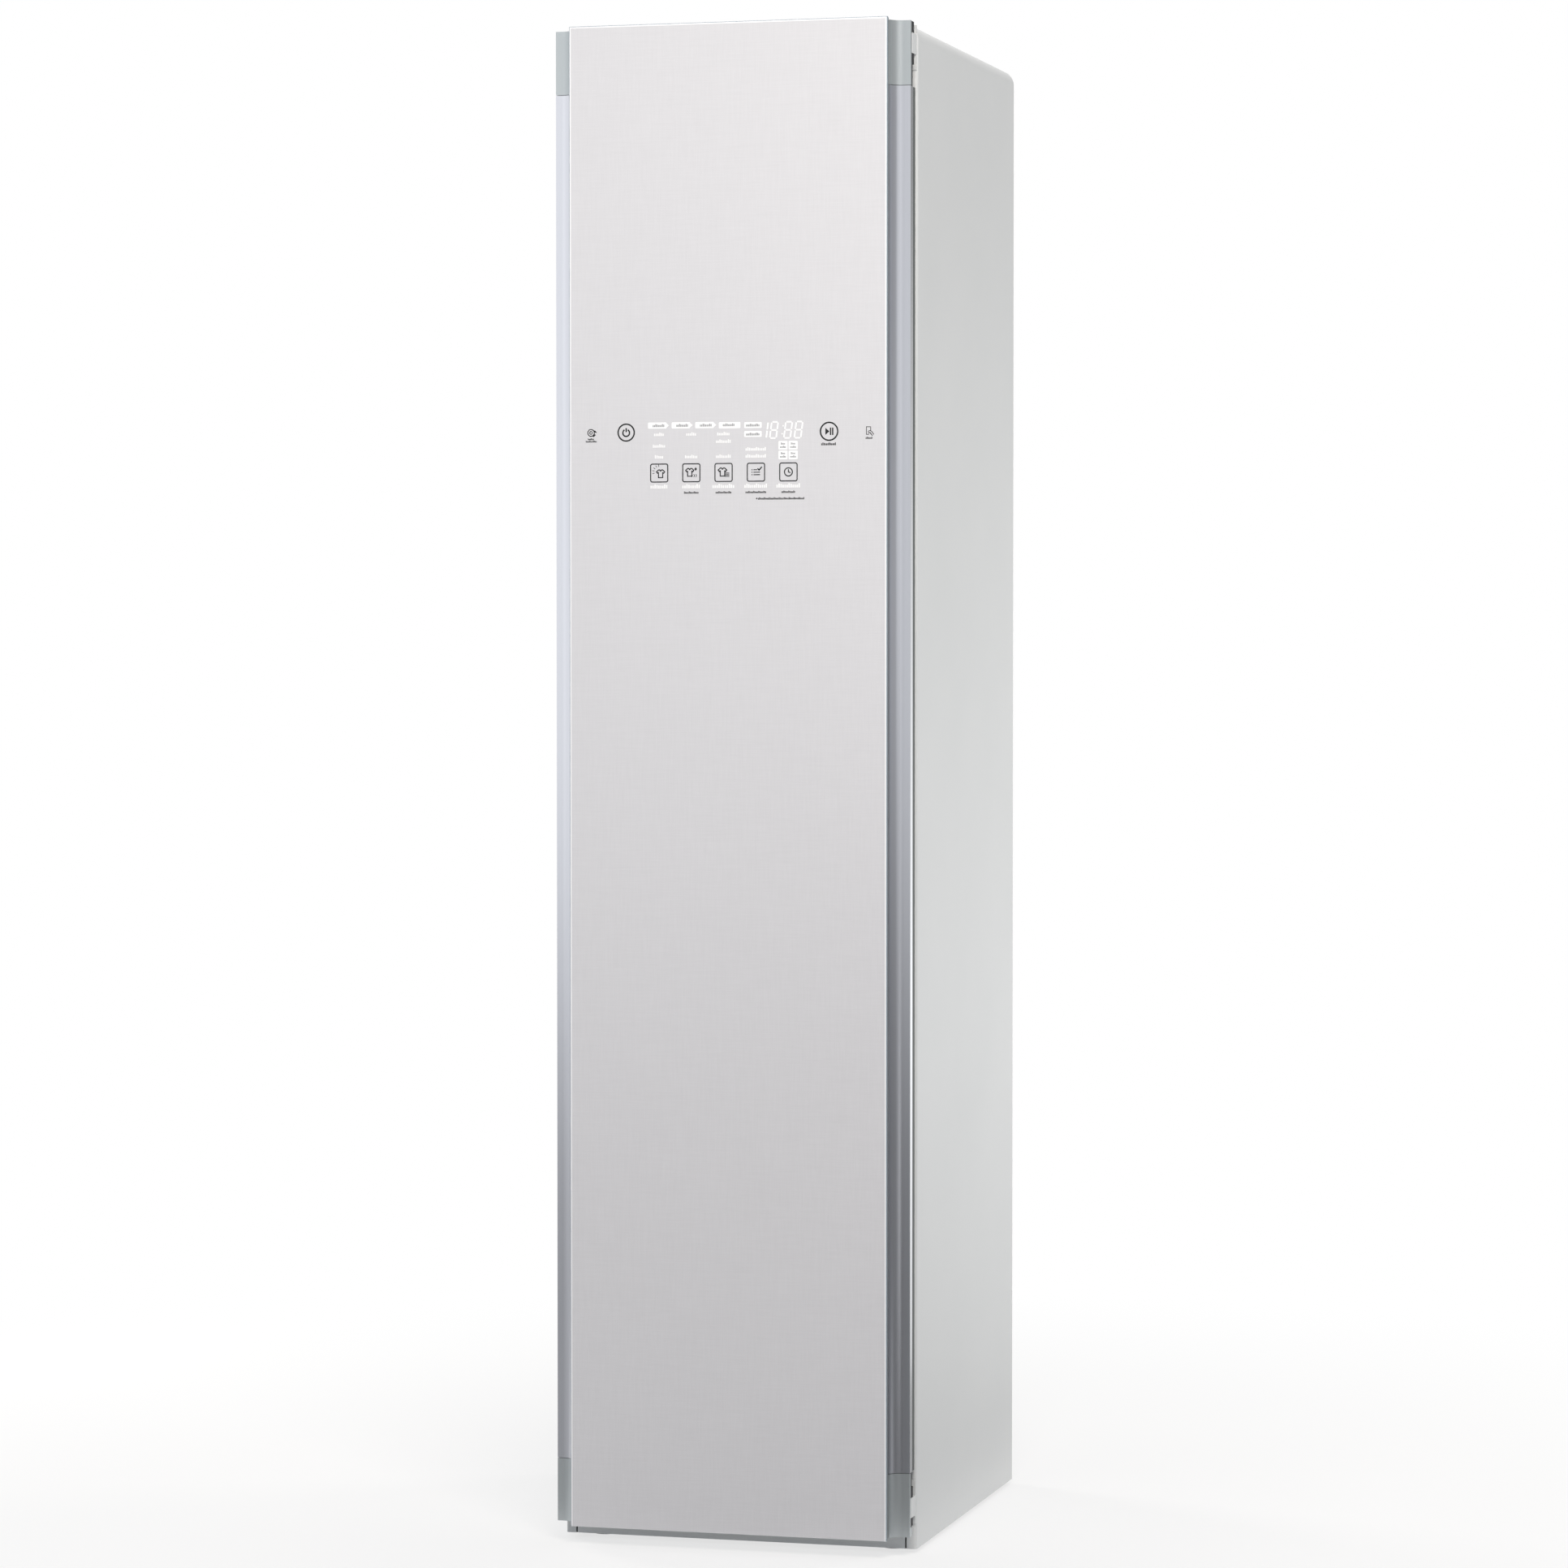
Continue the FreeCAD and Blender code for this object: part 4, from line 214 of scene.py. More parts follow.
def cross_screw_tree():
    """Pan head with a cross recess on every point; the tilt about X says which way it faces."""
    tree, given = sized_tree("cross_recess_screw", {
        "Head Radius": 4 * MM, "Head Height": 1.8 * MM, "Recess Width": 1.1 * MM,
        "Tilt": math.radians(-90)})
    radius, height, slit = given["Head Radius"], given["Head Height"], given["Recess Width"]
    head = add(tree, "GeometryNodeMeshCylinder",
               {"Vertices": 28, "Radius": radius, "Depth": height})
    reach = add(tree, "ShaderNodeMath", {0: radius, 1: 1.15}, operation="MULTIPLY")
    cross = add(tree, "GeometryNodeJoinGeometry")
    for wide, deep in ((slit, reach), (reach, slit)):
        size = add(tree, "ShaderNodeCombineXYZ", {0: wide, 1: deep, 2: height})
        arm = add(tree, "GeometryNodeMeshCube", {"Size": size})
        tree.links.new(arm.outputs[0], cross.inputs[0])
    rise = add(tree, "ShaderNodeMath", {0: height, 1: 0.45}, operation="MULTIPLY")
    lift = add(tree, "ShaderNodeCombineXYZ", {2: rise})
    raised = add(tree, "GeometryNodeTransform", {0: cross, "Translation": lift})
    cut = add(tree, "GeometryNodeMeshBoolean", {0: head, 1: raised}, operation="DIFFERENCE")
    facing = add(tree, "ShaderNodeCombineXYZ", {0: given["Tilt"], 2: math.radians(20)})
    turned = add(tree, "GeometryNodeTransform", {0: cut, "Rotation": facing})
    return close_tree(tree, given, turned, screw_zinc)


screw_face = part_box("case_screws")[1].y - 0.9 * MM
screw_points = [(x, screw_face, z) for x, z in solid_spots("case_screws", 12 * MM)]
screw_tree = cross_screw_tree()
rear_screws = grow("rear_screws", screw_tree, {"Tilt": math.radians(-90)}, screw_points,
                   "cabinet")
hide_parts("case_screws")


# -------------------------------- base pan and levelling feet
# A black tray moulded in glass-filled polypropylene, with four rubber-soled feet that screw in.
# Spark-eroded mould texture gives the tray a dry, even grain.

black_moulding = surface("black_polypropylene", "#232527", "#1B1C1E", 0.55, 0.7, 0.02)
dress(black_moulding, "base_pan", "upper_hinge_leaf", "lower_hinge_leaf", "blower_housing",
      "blower_impeller", "water_pumps", "power_inlet")
# Moulded rubber takes no gloss at all.
black_rubber = surface("black_moulded_rubber", "#242424", "#1A1A1B", 0.72, 0.9, 0.03)
dress(black_rubber, "drive_belt", "compressor_grommets", "foot_front_left", "foot_front_right",
      "foot_rear_left", "foot_rear_right")


# -------------------------------- steaming chamber
# The liner is one white ABS moulding, foamed to the case; grille, filter and scent box drop into
# its floor, and a ribbed shelf rests on four pegs.  Moulded satin white, with a light grain.

white_moulding = surface("white_abs", "#E0E0DD", "#D9DAD7", 0.4, 1.1, 0.015)
dress(white_moulding, "chamber_liner", "shelf_hooks", "tank_bay", "door_liner", "press_panel",
      "shelf")
# The parts that lift out or turn are moulded in a dull mid grey.
grey_moulding = surface("grey_abs", "#8F9496", "#83888B", 0.45, 0.9, 0.02)
dress(grey_moulding, "floor_grille", "front_frame", "hangers", "drive_pulley", "motor_pulley",
      "lint_filter", "fragrance_case", "steam_generator")


def slat_tree(name, material):
    """Straight bar of the given size on every point."""
    tree, given = sized_tree(name, {"Width": 2 * MM, "Depth": 2 * MM, "Height": 2 * MM})
    size = add(tree, "ShaderNodeCombineXYZ",
               {0: given["Width"], 1: given["Depth"], 2: given["Height"]})
    bar = add(tree, "GeometryNodeMeshCube", {"Size": size})
    return close_tree(tree, given, bar, material)


def thread_tree(name, material):
    """Thin round wire or stitch on every point, tipped about X or Y from the upright."""
    tree, given = sized_tree(name, {"Radius": 0.3 * MM, "Length": 10 * MM, "Tip About X": 0.0,
                                    "Tip About Y": 0.0})
    wire = add(tree, "GeometryNodeMeshCylinder",
               {"Vertices": 6, "Radius": given["Radius"], "Depth": given["Length"]})
    tip = add(tree, "ShaderNodeCombineXYZ", {0: given["Tip About X"], 1: given["Tip About Y"]})
    return close_tree(tree, given, wire, material, tip)


def evenly(start, end, pitch):
    """Places at about that pitch, the same distance in from both ends."""
    count = round((end - start) / pitch)
    return [start + (end - start) * (index + 0.5) / count for index in range(count)]


# The lint filter holds a woven screen of thin bright wires.  A real mesh is under 1 mm and too
# fine to show, so it is drawn at 3 mm.
SCREEN_PITCH = 3 * MM
SCREEN_DROP = 6.8 * MM
FILTER_RIM = Vector((9, 9, 0)) * MM
screen_steel = surface("woven_steel_wire", "#B9BBBC", "#A6A9AA", 0.32, 0.8, 0.004,
                       shader={"Metallic": 1.0})
screen_wire = thread_tree("woven_screen", screen_steel)
filter_low, filter_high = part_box("lint_filter")
tray_low = filter_low + FILTER_RIM
tray_high = filter_high - FILTER_RIM
screen_height = filter_high.z - SCREEN_DROP
grow("lint_screen_warp", screen_wire,
     {"Length": tray_high.y - tray_low.y, "Tip About X": math.radians(90)},
     [(x, (tray_low.y + tray_high.y) / 2, screen_height)
      for x in evenly(tray_low.x, tray_high.x, SCREEN_PITCH)], "lint_filter")
grow("lint_screen_weft", screen_wire,
     {"Length": tray_high.x - tray_low.x, "Tip About Y": math.radians(90)},
     [((tray_low.x + tray_high.x) / 2, y, screen_height + 0.4 * MM)
      for y in evenly(tray_low.y, tray_high.y, SCREEN_PITCH)], "lint_filter")

# The scent box is closed by moulded slats, through which the vapour passes; none stands under
# the grab bar in its middle.
SCENT_RIM = 9 * MM
SCENT_PITCH = 6 * MM
scent_low, scent_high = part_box("fragrance_case")
scent_middle = (scent_low + scent_high) / 2
grow("fragrance_slats", slat_tree("scent_box_slats", grey_moulding),
     {"Width": 3 * MM, "Depth": scent_high.y - scent_low.y - 17 * MM, "Height": 2 * MM},
     [(x, scent_middle.y, scent_high.z - 2 * MM)
      for x in evenly(scent_low.x + SCENT_RIM, scent_high.x - SCENT_RIM, SCENT_PITCH)
      if abs(x - scent_middle.x) > 6 * MM], "fragrance_case")


# -------------------------------- drive cover
# A slatted cover of white ABS closes the machine room over the chamber; it sits behind the front
# flange of the case and is held by four cross-recess screws.

COVER_HALF = 208 * MM
VENT_HALF = 171 * MM
VENT_FOOT, VENT_HEAD = 17 * MM, 45 * MM
SLAT_WIDTH, SLAT_PITCH = 8 * MM, 14 * MM
COVER_SCREWS = (-183 * MM, 183 * MM)


def wall(mesh, first, second):
    """Faces between two closed rings of corners."""
    for index in range(len(first)):
        after = (index + 1) % len(first)
        mesh.faces.new((first[index], first[after], second[after], second[index]))


def from_mesh(mesh, name, material):
    """Turn finished mesh code into an object of one material."""
    data = bpy.data.meshes.new(name)
    mesh.to_mesh(data)
    mesh.free()
    data.materials.append(material)
    return linked(name, data)


def window_frame(low, high, hole_low, hole_high, soft):
    """Flat plate in the X-Z plane with one window and softened edges; corners in metres."""
    mesh = bmesh.new()
    rings = []
    for y in (low.y, high.y):
        for start, end in ((low, high), (hole_low, hole_high)):
            rings.append([mesh.verts.new(spot) for spot in
                          ((start.x, y, start.z), (end.x, y, start.z), (end.x, y, end.z),
                           (start.x, y, end.z))])
    front, front_hole, back, back_hole = rings
    for first, second in ((front, front_hole), (back, back_hole), (front, back),
                          (front_hole, back_hole)):
        wall(mesh, first, second)
    bmesh.ops.recalc_face_normals(mesh, faces=mesh.faces)
    bmesh.ops.bevel(mesh, geom=mesh.edges[:], offset=soft, segments=2, affect="EDGES",
                    profile=0.5)
    return mesh


liner_low, liner_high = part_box("chamber_liner")
case_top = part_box("outer_case")[1].z
cover_low = Vector((-COVER_HALF, liner_low.y + 0.2 * MM, liner_high.z + 0.4 * MM))
cover_high = Vector((COVER_HALF, liner_low.y + 2.8 * MM, case_top - 3 * MM))
vent_low = Vector((-VENT_HALF, 0, cover_low.z + VENT_FOOT))
vent_high = Vector((VENT_HALF, 0, cover_low.z + VENT_HEAD))
drive_cover = from_mesh(window_frame(cover_low, cover_high, vent_low, vent_high, 0.5 * MM),
                        "drive_cover", white_moulding)
fasten(drive_cover, "cabinet")
slat_gap = SLAT_PITCH - SLAT_WIDTH
grow("drive_cover_slats", slat_tree("cover_slats", white_moulding),
     {"Width": SLAT_WIDTH, "Depth": 2 * MM, "Height": vent_high.z - vent_low.z + 2 * MM},
     [(x, (cover_low.y + cover_high.y) / 2, (vent_low.z + vent_high.z) / 2)
      for x in evenly(vent_low.x + slat_gap / 2, vent_high.x - slat_gap / 2, SLAT_PITCH)],
     "cabinet")
grow("drive_cover_screws", screw_tree, {"Tilt": math.radians(90)},
     [(x, cover_low.y - 0.7 * MM, z) for x in COVER_SCREWS
      for z in (vent_low.z + 2 * MM, vent_high.z - 2 * MM)], "cabinet")


# -------------------------------- insulation
# Expanded polystyrene boards pushed between liner and case: beads about 4 mm across, pressed
# together, give a pale and pebbled face.

def beaded_foam():
    """Expanded polystyrene: pale beads with darker seams between them."""
    bead = 4 * MM
    material, tree, place = empty_material("expanded_polystyrene")
    beads = add(tree, "ShaderNodeTexVoronoi", {"Vector": place, "Scale": 1 / bead})
    seam = beads.outputs["Distance"]
    tint = add(tree, "ShaderNodeMix", {0: seam, 6: linear("#F4F4F0"), 7: linear("#D6D7D2")},
               data_type="RGBA")
    close_material(tree, tint, 0.8, seam, 0.4 * MM, 1.0, invert=True)
    return material


dress(beaded_foam(), "insulation_panels")


# -------------------------------- chamber lamp
# A frosted polycarbonate lens let into the ceiling over the lamp board; the frost spreads a
# faint warm glow evenly over it.

lens_frost = surface("frosted_polycarbonate", "#F4F3EC", "#ECEBE4", 0.35, 1.5, 0.05,
                     shader={"Emission Color": linear("#FFF8E8"), "Emission Strength": 0.25,
                             "Subsurface Weight": 0.15})
dress(lens_frost, "chamber_lamp")


# -------------------------------- water tanks
# Two blow-moulded tanks of smoked SAN: a cool grey, glossy and a little see-through, with a
# ribbed screw lid on top.

LID_SETBACK, LID_DROP = 70 * MM, 13 * MM
smoked_clear = surface("smoked_clear_san", "#C2CDD4", "#B7C3CB", 0.16, 3.0, 0.03,
                       shader={"Transmission Weight": 0.35, "IOR": 1.5, "Coat Weight": 0.3})
dress(smoked_clear, "supply_tank", "drain_tank")


def knurl_tree():
    """Ring of upright ribs round each point, as on a screw lid."""
    tree, given = sized_tree("lid_knurl", {"Lid Radius": 29 * MM, "Ribs": 40,
                                           "Rib Width": 1.6 * MM, "Rib Height": 11 * MM})
    ring = add(tree, "GeometryNodeMeshCircle",
               {"Vertices": given["Ribs"], "Radius": given["Lid Radius"]})
    size = add(tree, "ShaderNodeCombineXYZ",
               {0: given["Rib Width"], 1: given["Rib Width"], 2: given["Rib Height"]})
    rib = add(tree, "GeometryNodeMeshCube", {"Size": size})
    order = add(tree, "GeometryNodeInputIndex")
    share = add(tree, "ShaderNodeMath", {0: order, 1: given["Ribs"]}, operation="DIVIDE")
    angle = add(tree, "ShaderNodeMath", {0: share, 1: math.tau}, operation="MULTIPLY")
    turn = add(tree, "ShaderNodeCombineXYZ", {2: angle})
    ribs = add(tree, "GeometryNodeInstanceOnPoints",
               {"Points": ring, "Instance": rib, "Rotation": turn})
    return close_tree(tree, given, ribs, smoked_clear)


lid_knurl = knurl_tree()
for tank in ("supply_tank", "drain_tank"):
    tank_low, tank_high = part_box(tank)
    lid_spot = ((tank_low.x + tank_high.x) / 2, tank_low.y + LID_SETBACK,
                tank_high.z - LID_DROP)
    grow(f"{tank}_lid_ribs", lid_knurl, {"Ribs": 40}, [lid_spot], tank)


# -------------------------------- shaker drive
# Ground steel rods guide the carriage of the hanger bar; bright steel pins hold the door.  The
# motors and the compressor wear black stoving enamel, hard and wet-looking.

ground_steel = surface("ground_steel", "#C9CBCC", "#B9BCBD", 0.2, 0.6, 0.004, (1, 8, 8),
                       {"Metallic": 1.0})
dress(ground_steel, "slide_rods", "hinge_pins")
enamel = surface("black_stoving_enamel", "#17181A", "#101113", 0.28, 2.5, 0.03,
                 shader={"Coat Weight": 0.5, "Coat Roughness": 0.12})
dress(enamel, "drive_motor", "blower_motor", "compressor")


# -------------------------------- heat pump
# Drawn copper tube, slightly tarnished at the brazed joints, joins the compressor to two coils
# with fins of mill-finish aluminium, pale and softly bright.

copper = surface("drawn_copper", "#C98A63", "#A8684A", 0.3, 2.0, 0.01, shader={"Metallic": 1.0})
dress(copper, "refrigerant_pipes")
mill_fins = surface("mill_finish_aluminium", "#D2D5D8", "#BFC3C7", 0.36, 1.2, 0.01, (1, 1, 0.1),
                    {"Metallic": 1.0})
dress(mill_fins, "evaporator", "condenser")
# Fins stand 2 mm apart between the end plates, pressed on to the tubes.
FIN_HEIGHT = 188 * MM
FIN_PITCH = 2 * MM
FIRST_FIN, LAST_FIN = 13 * MM, 11 * MM     # in from the ends of the coil
fin_tree = slat_tree("coil_fins", mill_fins)
for coil in ("evaporator", "condenser"):
    coil_low, coil_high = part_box(coil)
    grow(f"{coil}_fins", fin_tree,
         {"Width": 0.25 * MM, "Depth": coil_high.y - coil_low.y - 1 * MM,
          "Height": FIN_HEIGHT},
         [(x, (coil_low.y + coil_high.y) / 2, coil_high.z - FIN_HEIGHT / 2 - 1 * MM)
          for x in evenly(coil_low.x + FIRST_FIN, coil_high.x - LAST_FIN, FIN_PITCH)],
         "cabinet")
# Circuit boards show deep green under a clear lacquer.
solder_mask = surface("green_solder_mask", "#1E6B41", "#185A36", 0.32, 2.2, 0.02,
                      shader={"Coat Weight": 0.4})
dress(solder_mask, "control_board", "touch_board")


# -------------------------------- door seal
# A magnetic bellows seal of soft grey PVC, pushed into a groove of the door liner: dull, and
# ridged along its sides where it folds.

soft_pvc = surface("soft_grey_pvc", "#8D9092", "#828587", 0.62, 1.3, 0.02)
dress(soft_pvc, "door_gasket", "steam_nozzle")


def bellows_tree():
    """Soft ridge that runs round the door, one for each point of the input, at its height."""
    tree, given = sized_tree("seal_bellows", {"Width": 0.4, "Height": 1.8, "Corner": 8 * MM,
                                              "Ridge": 0.8 * MM})
    ring = add(tree, "GeometryNodeCurvePrimitiveQuadrilateral",
               {"Width": given["Width"], "Height": given["Height"]})
    bend = add(tree, "GeometryNodeFilletCurve", {0: ring, "Radius": given["Corner"]})
    section = add(tree, "GeometryNodeCurvePrimitiveCircle",
                  {"Resolution": 8, "Radius": given["Ridge"]})
    sweep = add(tree, "GeometryNodeCurveToMesh", {0: bend, 1: section})
    standing = add(tree, "GeometryNodeTransform", {0: sweep, "Rotation": (math.radians(90), 0, 0)})
    return close_tree(tree, given, standing, soft_pvc)


RIDGE_DEPTHS = (2.4 * MM, 4.6 * MM, 6.8 * MM)
seal_low, seal_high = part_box("door_gasket")
seal_middle = (seal_low + seal_high) / 2
grow("seal_ridges", bellows_tree(),
     {"Width": seal_high.x - seal_low.x - 0.6 * MM, "Height": seal_high.z - seal_low.z - 0.6 * MM},
     [(seal_middle.x, seal_low.y + depth, seal_middle.z) for depth in RIDGE_DEPTHS],
     "door")


# -------------------------------- painted shade strips behind the lips
# A thin dark strip stands behind each grip lip and fills the gap to the case: painted shade, the
# dark line of shade beside the lip as seen from the side.

gap_shade_paint = surface("painted_gap_shade", "#5C605F", "#525655", 0.6, 1.0, 0.02)


def extruded(name, section, low, high, material):
    """Straight profile on the door: section corners (x, y) in mm, from low to high in metres."""
    mesh = bmesh.new()
    foot = [mesh.verts.new((x * MM, y * MM, low)) for x, y in section]
    crown = [mesh.verts.new((x * MM, y * MM, high)) for x, y in section]
    mesh.faces.new(foot)
    mesh.faces.new(crown)
    wall(mesh, foot, crown)
    bmesh.ops.recalc_face_normals(mesh, faces=mesh.faces)
    fasten(from_mesh(mesh, name, material), "door")


for side, sign, lowest, highest in (("left", -1, "lower_left_cap", "upper_left_cap"),
                                    ("right", 1, "right_grip_profile", "right_grip_profile")):
    lip_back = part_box(f"{side}_grip_profile")[1].y / MM
    fin = [(219.6, 0.0), (221.4, 0.0), (221.4, 3.0), (221.2, 15.6), (220.9, 16.0), (220.6, 15.6),
           (220.4, 3.0), (219.6, 1.2)]
    extruded(f"{side}_gap_shade_strip", [(sign * x, lip_back + y) for x, y in fin],
             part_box(lowest)[0].z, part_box(highest)[1].z, gap_shade_paint)


# -------------------------------- door glass
# Toughened glass, back-printed in silver white with a fine linen pattern, its edges ground and
# blue-grey;
# a paler band just inside the top and side edges is painted highlight on the edge.  The clear sheet
# gives a soft sheen over threads of slightly different grey.

def printed_glass():
    """Silver-white back print of crossed threads under clear glass, blue-grey at the edges, with a
    paler band just inside the top and sides as painted highlight.
    """
    thread, streak = 1.1 * MM, 30 * MM
    highlight_width, ground_width, skin = 2.4 * MM, 0.8 * MM, 0.9 * MM
    low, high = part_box("glass_panel")
    material, tree, place = empty_material("back_printed_glass")
    threads = []
    for stretch in ((1 / thread, 1, 1 / streak), (1 / streak, 1, 1 / thread)):
        lay = add(tree, "ShaderNodeMapping", {"Vector": place, "Scale": stretch})
        threads.append(add(tree, "ShaderNodeTexNoise",
                           {"Vector": lay, "Scale": 1.0, "Detail": 2.0}))
    linen = add(tree, "ShaderNodeMath", {0: threads[0], 1: threads[1]}, operation="ADD")
    weave = add(tree, "ShaderNodeMapRange", {"Value": linen, "From Min": 0.7, "From Max": 1.3})
    cloth = add(tree, "ShaderNodeMix", {0: weave, 6: linear("#CDCDD0"), 7: linear("#D1D1D4")},
                data_type="RGBA")
    where = add(tree, "ShaderNodeSeparateXYZ", {0: place})
    across = add(tree, "ShaderNodeMath", {0: where}, operation="ABSOLUTE")
    side_room = add(tree, "ShaderNodeMath", {0: high.x, 1: across}, operation="SUBTRACT")
    top_room = add(tree, "ShaderNodeMath", {0: high.z, 1: where.outputs[2]},
                   operation="SUBTRACT")
    room = add(tree, "ShaderNodeMath", {0: side_room, 1: top_room}, operation="MINIMUM")
    # Paler band just inside the top and side edges: painted highlight along the glass edge.
    highlight_band = add(tree, "ShaderNodeMath", {0: room, 1: highlight_width}, operation="LESS_THAN")
    highlighted = add(tree, "ShaderNodeMix", {0: highlight_band, 6: cloth.outputs[2], 7: linear("#EDEDEF")},
                 data_type="RGBA")
    near = add(tree, "ShaderNodeMath", {0: room, 1: ground_width}, operation="LESS_THAN")
    behind = add(tree, "ShaderNodeMath", {0: where.outputs[1], 1: low.y + skin},
                 operation="GREATER_THAN")
    edge = add(tree, "ShaderNodeMath", {0: near, 1: behind}, operation="MAXIMUM")
    tint = add(tree, "ShaderNodeMix", {0: edge, 6: highlighted.outputs[2], 7: linear("#9AA7B0")},
               data_type="RGBA")
    shine = add(tree, "ShaderNodeMapRange", {"Value": weave, "To Min": 0.36, "To Max": 0.46})
    close_material(tree, tint, shine, weave, 0.01 * MM, 0.4,
                   {"Metallic": 0.12, "Coat Weight": 0.5, "Coat Roughness": 0.25,
                    "Coat IOR": 1.45})
    return material


dress(printed_glass(), "glass_panel")


# -------------------------------- grips and end caps
# Two aluminium extrusions with a hollow cove for the fingers, satin anodised: fine drawn lines
# run along their length.  The end caps carry the same section in silver-painted ABS.

def anodised():
    """Satin anodised extrusion: drawn lines about 0.8 mm apart that run up the profile."""
    line, run = 0.8 * MM, 300 * MM
    material, tree, place = empty_material("satin_anodised_aluminium")
    lay = add(tree, "ShaderNodeMapping",
              {"Vector": place, "Scale": (1 / line, 1 / line, 1 / run)})
    drawn = add(tree, "ShaderNodeTexNoise", {"Vector": lay, "Scale": 1.0, "Detail": 3.0})
    tint = add(tree, "ShaderNodeMix", {0: drawn, 6: linear("#DADBE1"), 7: linear("#E2E3E9")},
               data_type="RGBA")
    gloss = add(tree, "ShaderNodeMapRange", {"Value": drawn, "To Min": 0.3, "To Max": 0.38})
    close_material(tree, tint, gloss, drawn, 0.002 * MM, 0.5, {"Metallic": 1.0})
    return material


aluminium = anodised()
dress(aluminium, "left_grip_profile", "right_grip_profile", "hanger_bar")
# Silver paint on ABS has a metal sheen without drawn lines.
silver_abs = surface("silver_painted_abs", "#C6CBCD", "#BEC4C6", 0.4, 0.9, 0.004,
                     shader={"Metallic": 0.8})
dress(silver_abs, "upper_left_cap", "upper_right_cap", "lower_left_cap", "lower_right_cap")
# A skin of paler, glossier metal on the outer face of each lip is a painted highlight: the thin
# line of light along the edge.
lip_highlight_metal = surface("painted_highlight_aluminium", "#F0F0F2", "#E8E8EA", 0.2, 1.2, 0.003, (1, 1, 0.02),
                   {"Metallic": 1.0})
for side, sign in (("left", -1), ("right", 1)):
    grip_low, grip_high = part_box(f"{side}_grip_profile")
    lip_face = grip_high.x / MM if sign > 0 else -grip_low.x / MM
    bright = [(lip_face - 0.1, -270.4), (lip_face + 0.1, -270.2), (lip_face + 0.15, -269.6),
              (lip_face + 0.15, -260.0), (lip_face - 0.1, -259.6)]
    extruded(f"{side}_lip_highlight", [(sign * x, y) for x, y in bright], grip_low.z, grip_high.z,
             lip_highlight_metal)


# -------------------------------- display print
# Touch fields and lamp windows are screen-printed on the glass: dark grey ink for the fields,
# white windows for the lamps.  No words: rows of plain blocks stand where words would be.

INK = 0.08 * MM
OVERPRINT = 0.12 * MM
RISE = 2.9
GLASS_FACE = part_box("glass_panel")[0].y


class Sheet:
    """Flat printed shapes on the glass, gathered into one thin mesh.

    They are drawn in mm (x, z) from the place last named with at().  Weight thickens strokes and
    blocks; layer is how far the print stands off the glass, in metres.
    """

    def __init__(self, weight, layer):
        self.mesh = bmesh.new()
        self.weight = weight
        self.layer = layer
        self.start = (0.0, 0.0)

    def at(self, x, z):
        self.start = (x, z)

    def fill(self, points):
        """Closed shape from its corners; the whole print stands RISE higher."""
        left, low = self.start
        spots = [Vector(((left + x) * MM, GLASS_FACE - self.layer, (low + z + RISE) * MM))
                 for x, z in points]
        front = [self.mesh.verts.new(spot) for spot in spots]
        back = [self.mesh.verts.new(spot + Vector((0, self.layer, 0))) for spot in spots]
        self.mesh.faces.new(front)
        self.mesh.faces.new(back[::-1])
        wall(self.mesh, back, front)

    def line(self, points, width):
        """Open stroke of even width: one bar for each run, with square ends."""
        width *= self.weight
        for start, end in zip(points, points[1:]):
            run = Vector((end[0] - start[0], end[1] - start[1]))
            side = Vector((-run.y, run.x)).normalized() * width / 2
            tip = run.normalized() * width / 4
            self.fill([(start[0] - side.x - tip.x, start[1] - side.y - tip.y),
                       (end[0] - side.x + tip.x, end[1] - side.y + tip.y),
                       (end[0] + side.x + tip.x, end[1] + side.y + tip.y),
                       (start[0] + side.x - tip.x, start[1] + side.y - tip.y)])

    def arc(self, x, z, radius, width, start=0.0, end=360.0):
        """Part of a ring, from start to end in degrees."""
        width *= self.weight
        outer, inner = radius + width / 2, radius - width / 2
        steps = max(6, int((end - start) / 10))
        angles = [math.radians(start + (end - start) * index / steps)
                  for index in range(steps + 1)]
        for a, b in zip(angles, angles[1:]):
            self.fill([(x + reach * math.cos(angle), z + reach * math.sin(angle))
                       for reach, angle in ((outer, a), (inner, a), (inner, b), (outer, b))])

    def rounded(self, left, low, right, high, radius, point=0.0):
        """Filled box with round corners; point moves the middle of its right end outwards."""
        spots = []
        for x, z, turn in ((right - radius, high - radius, 0), (left + radius, high - radius, 90),
                           (left + radius, low + radius, 180), (right - radius, low + radius, 270)):
            for step in range(4):
                a = math.radians(turn + 30 * step)
                spots.append((x + radius * math.cos(a), z + radius * math.sin(a)))
        if point:
            spots.append((right + point, (low + high) / 2))
        self.fill(spots[::-1])

    def outline(self, x, z, half, radius, width):
        """Square frame with round corners."""
        reach = half - radius
        for sx, sz, turn in ((1, 1, 0), (-1, 1, 90), (-1, -1, 180), (1, -1, 270)):
            self.arc(x + sx * reach, z + sz * reach, radius, width, turn, turn + 90)
        for sign in (-1, 1):
            self.line([(x - reach, z + sign * half), (x + reach, z + sign * half)], width)
            self.line([(x + sign * half, z - reach), (x + sign * half, z + reach)], width)

    def words(self, x, z, width, height):
        """Row of plain blocks, centred on x, in the room that a word would take."""
        count = max(2, round(width / (0.62 * height)))
        pitch = width / count
        height *= self.weight
        block = 0.72 * pitch
        for index in range(count):
            left = x - width / 2 + pitch * index
            tall = height * (1.0, 0.7, 0.7, 0.85, 0.7)[(index * 3 + count) % 5]
            self.fill([(left + block, z - height / 2), (left, z - height / 2),
                       (left, z - height / 2 + tall), (left + block, z - height / 2 + tall)])

    def piece(self, name, material):
        bmesh.ops.recalc_face_normals(self.mesh, faces=self.mesh.faces)
        fasten(from_mesh(self.mesh, name, material), "door")


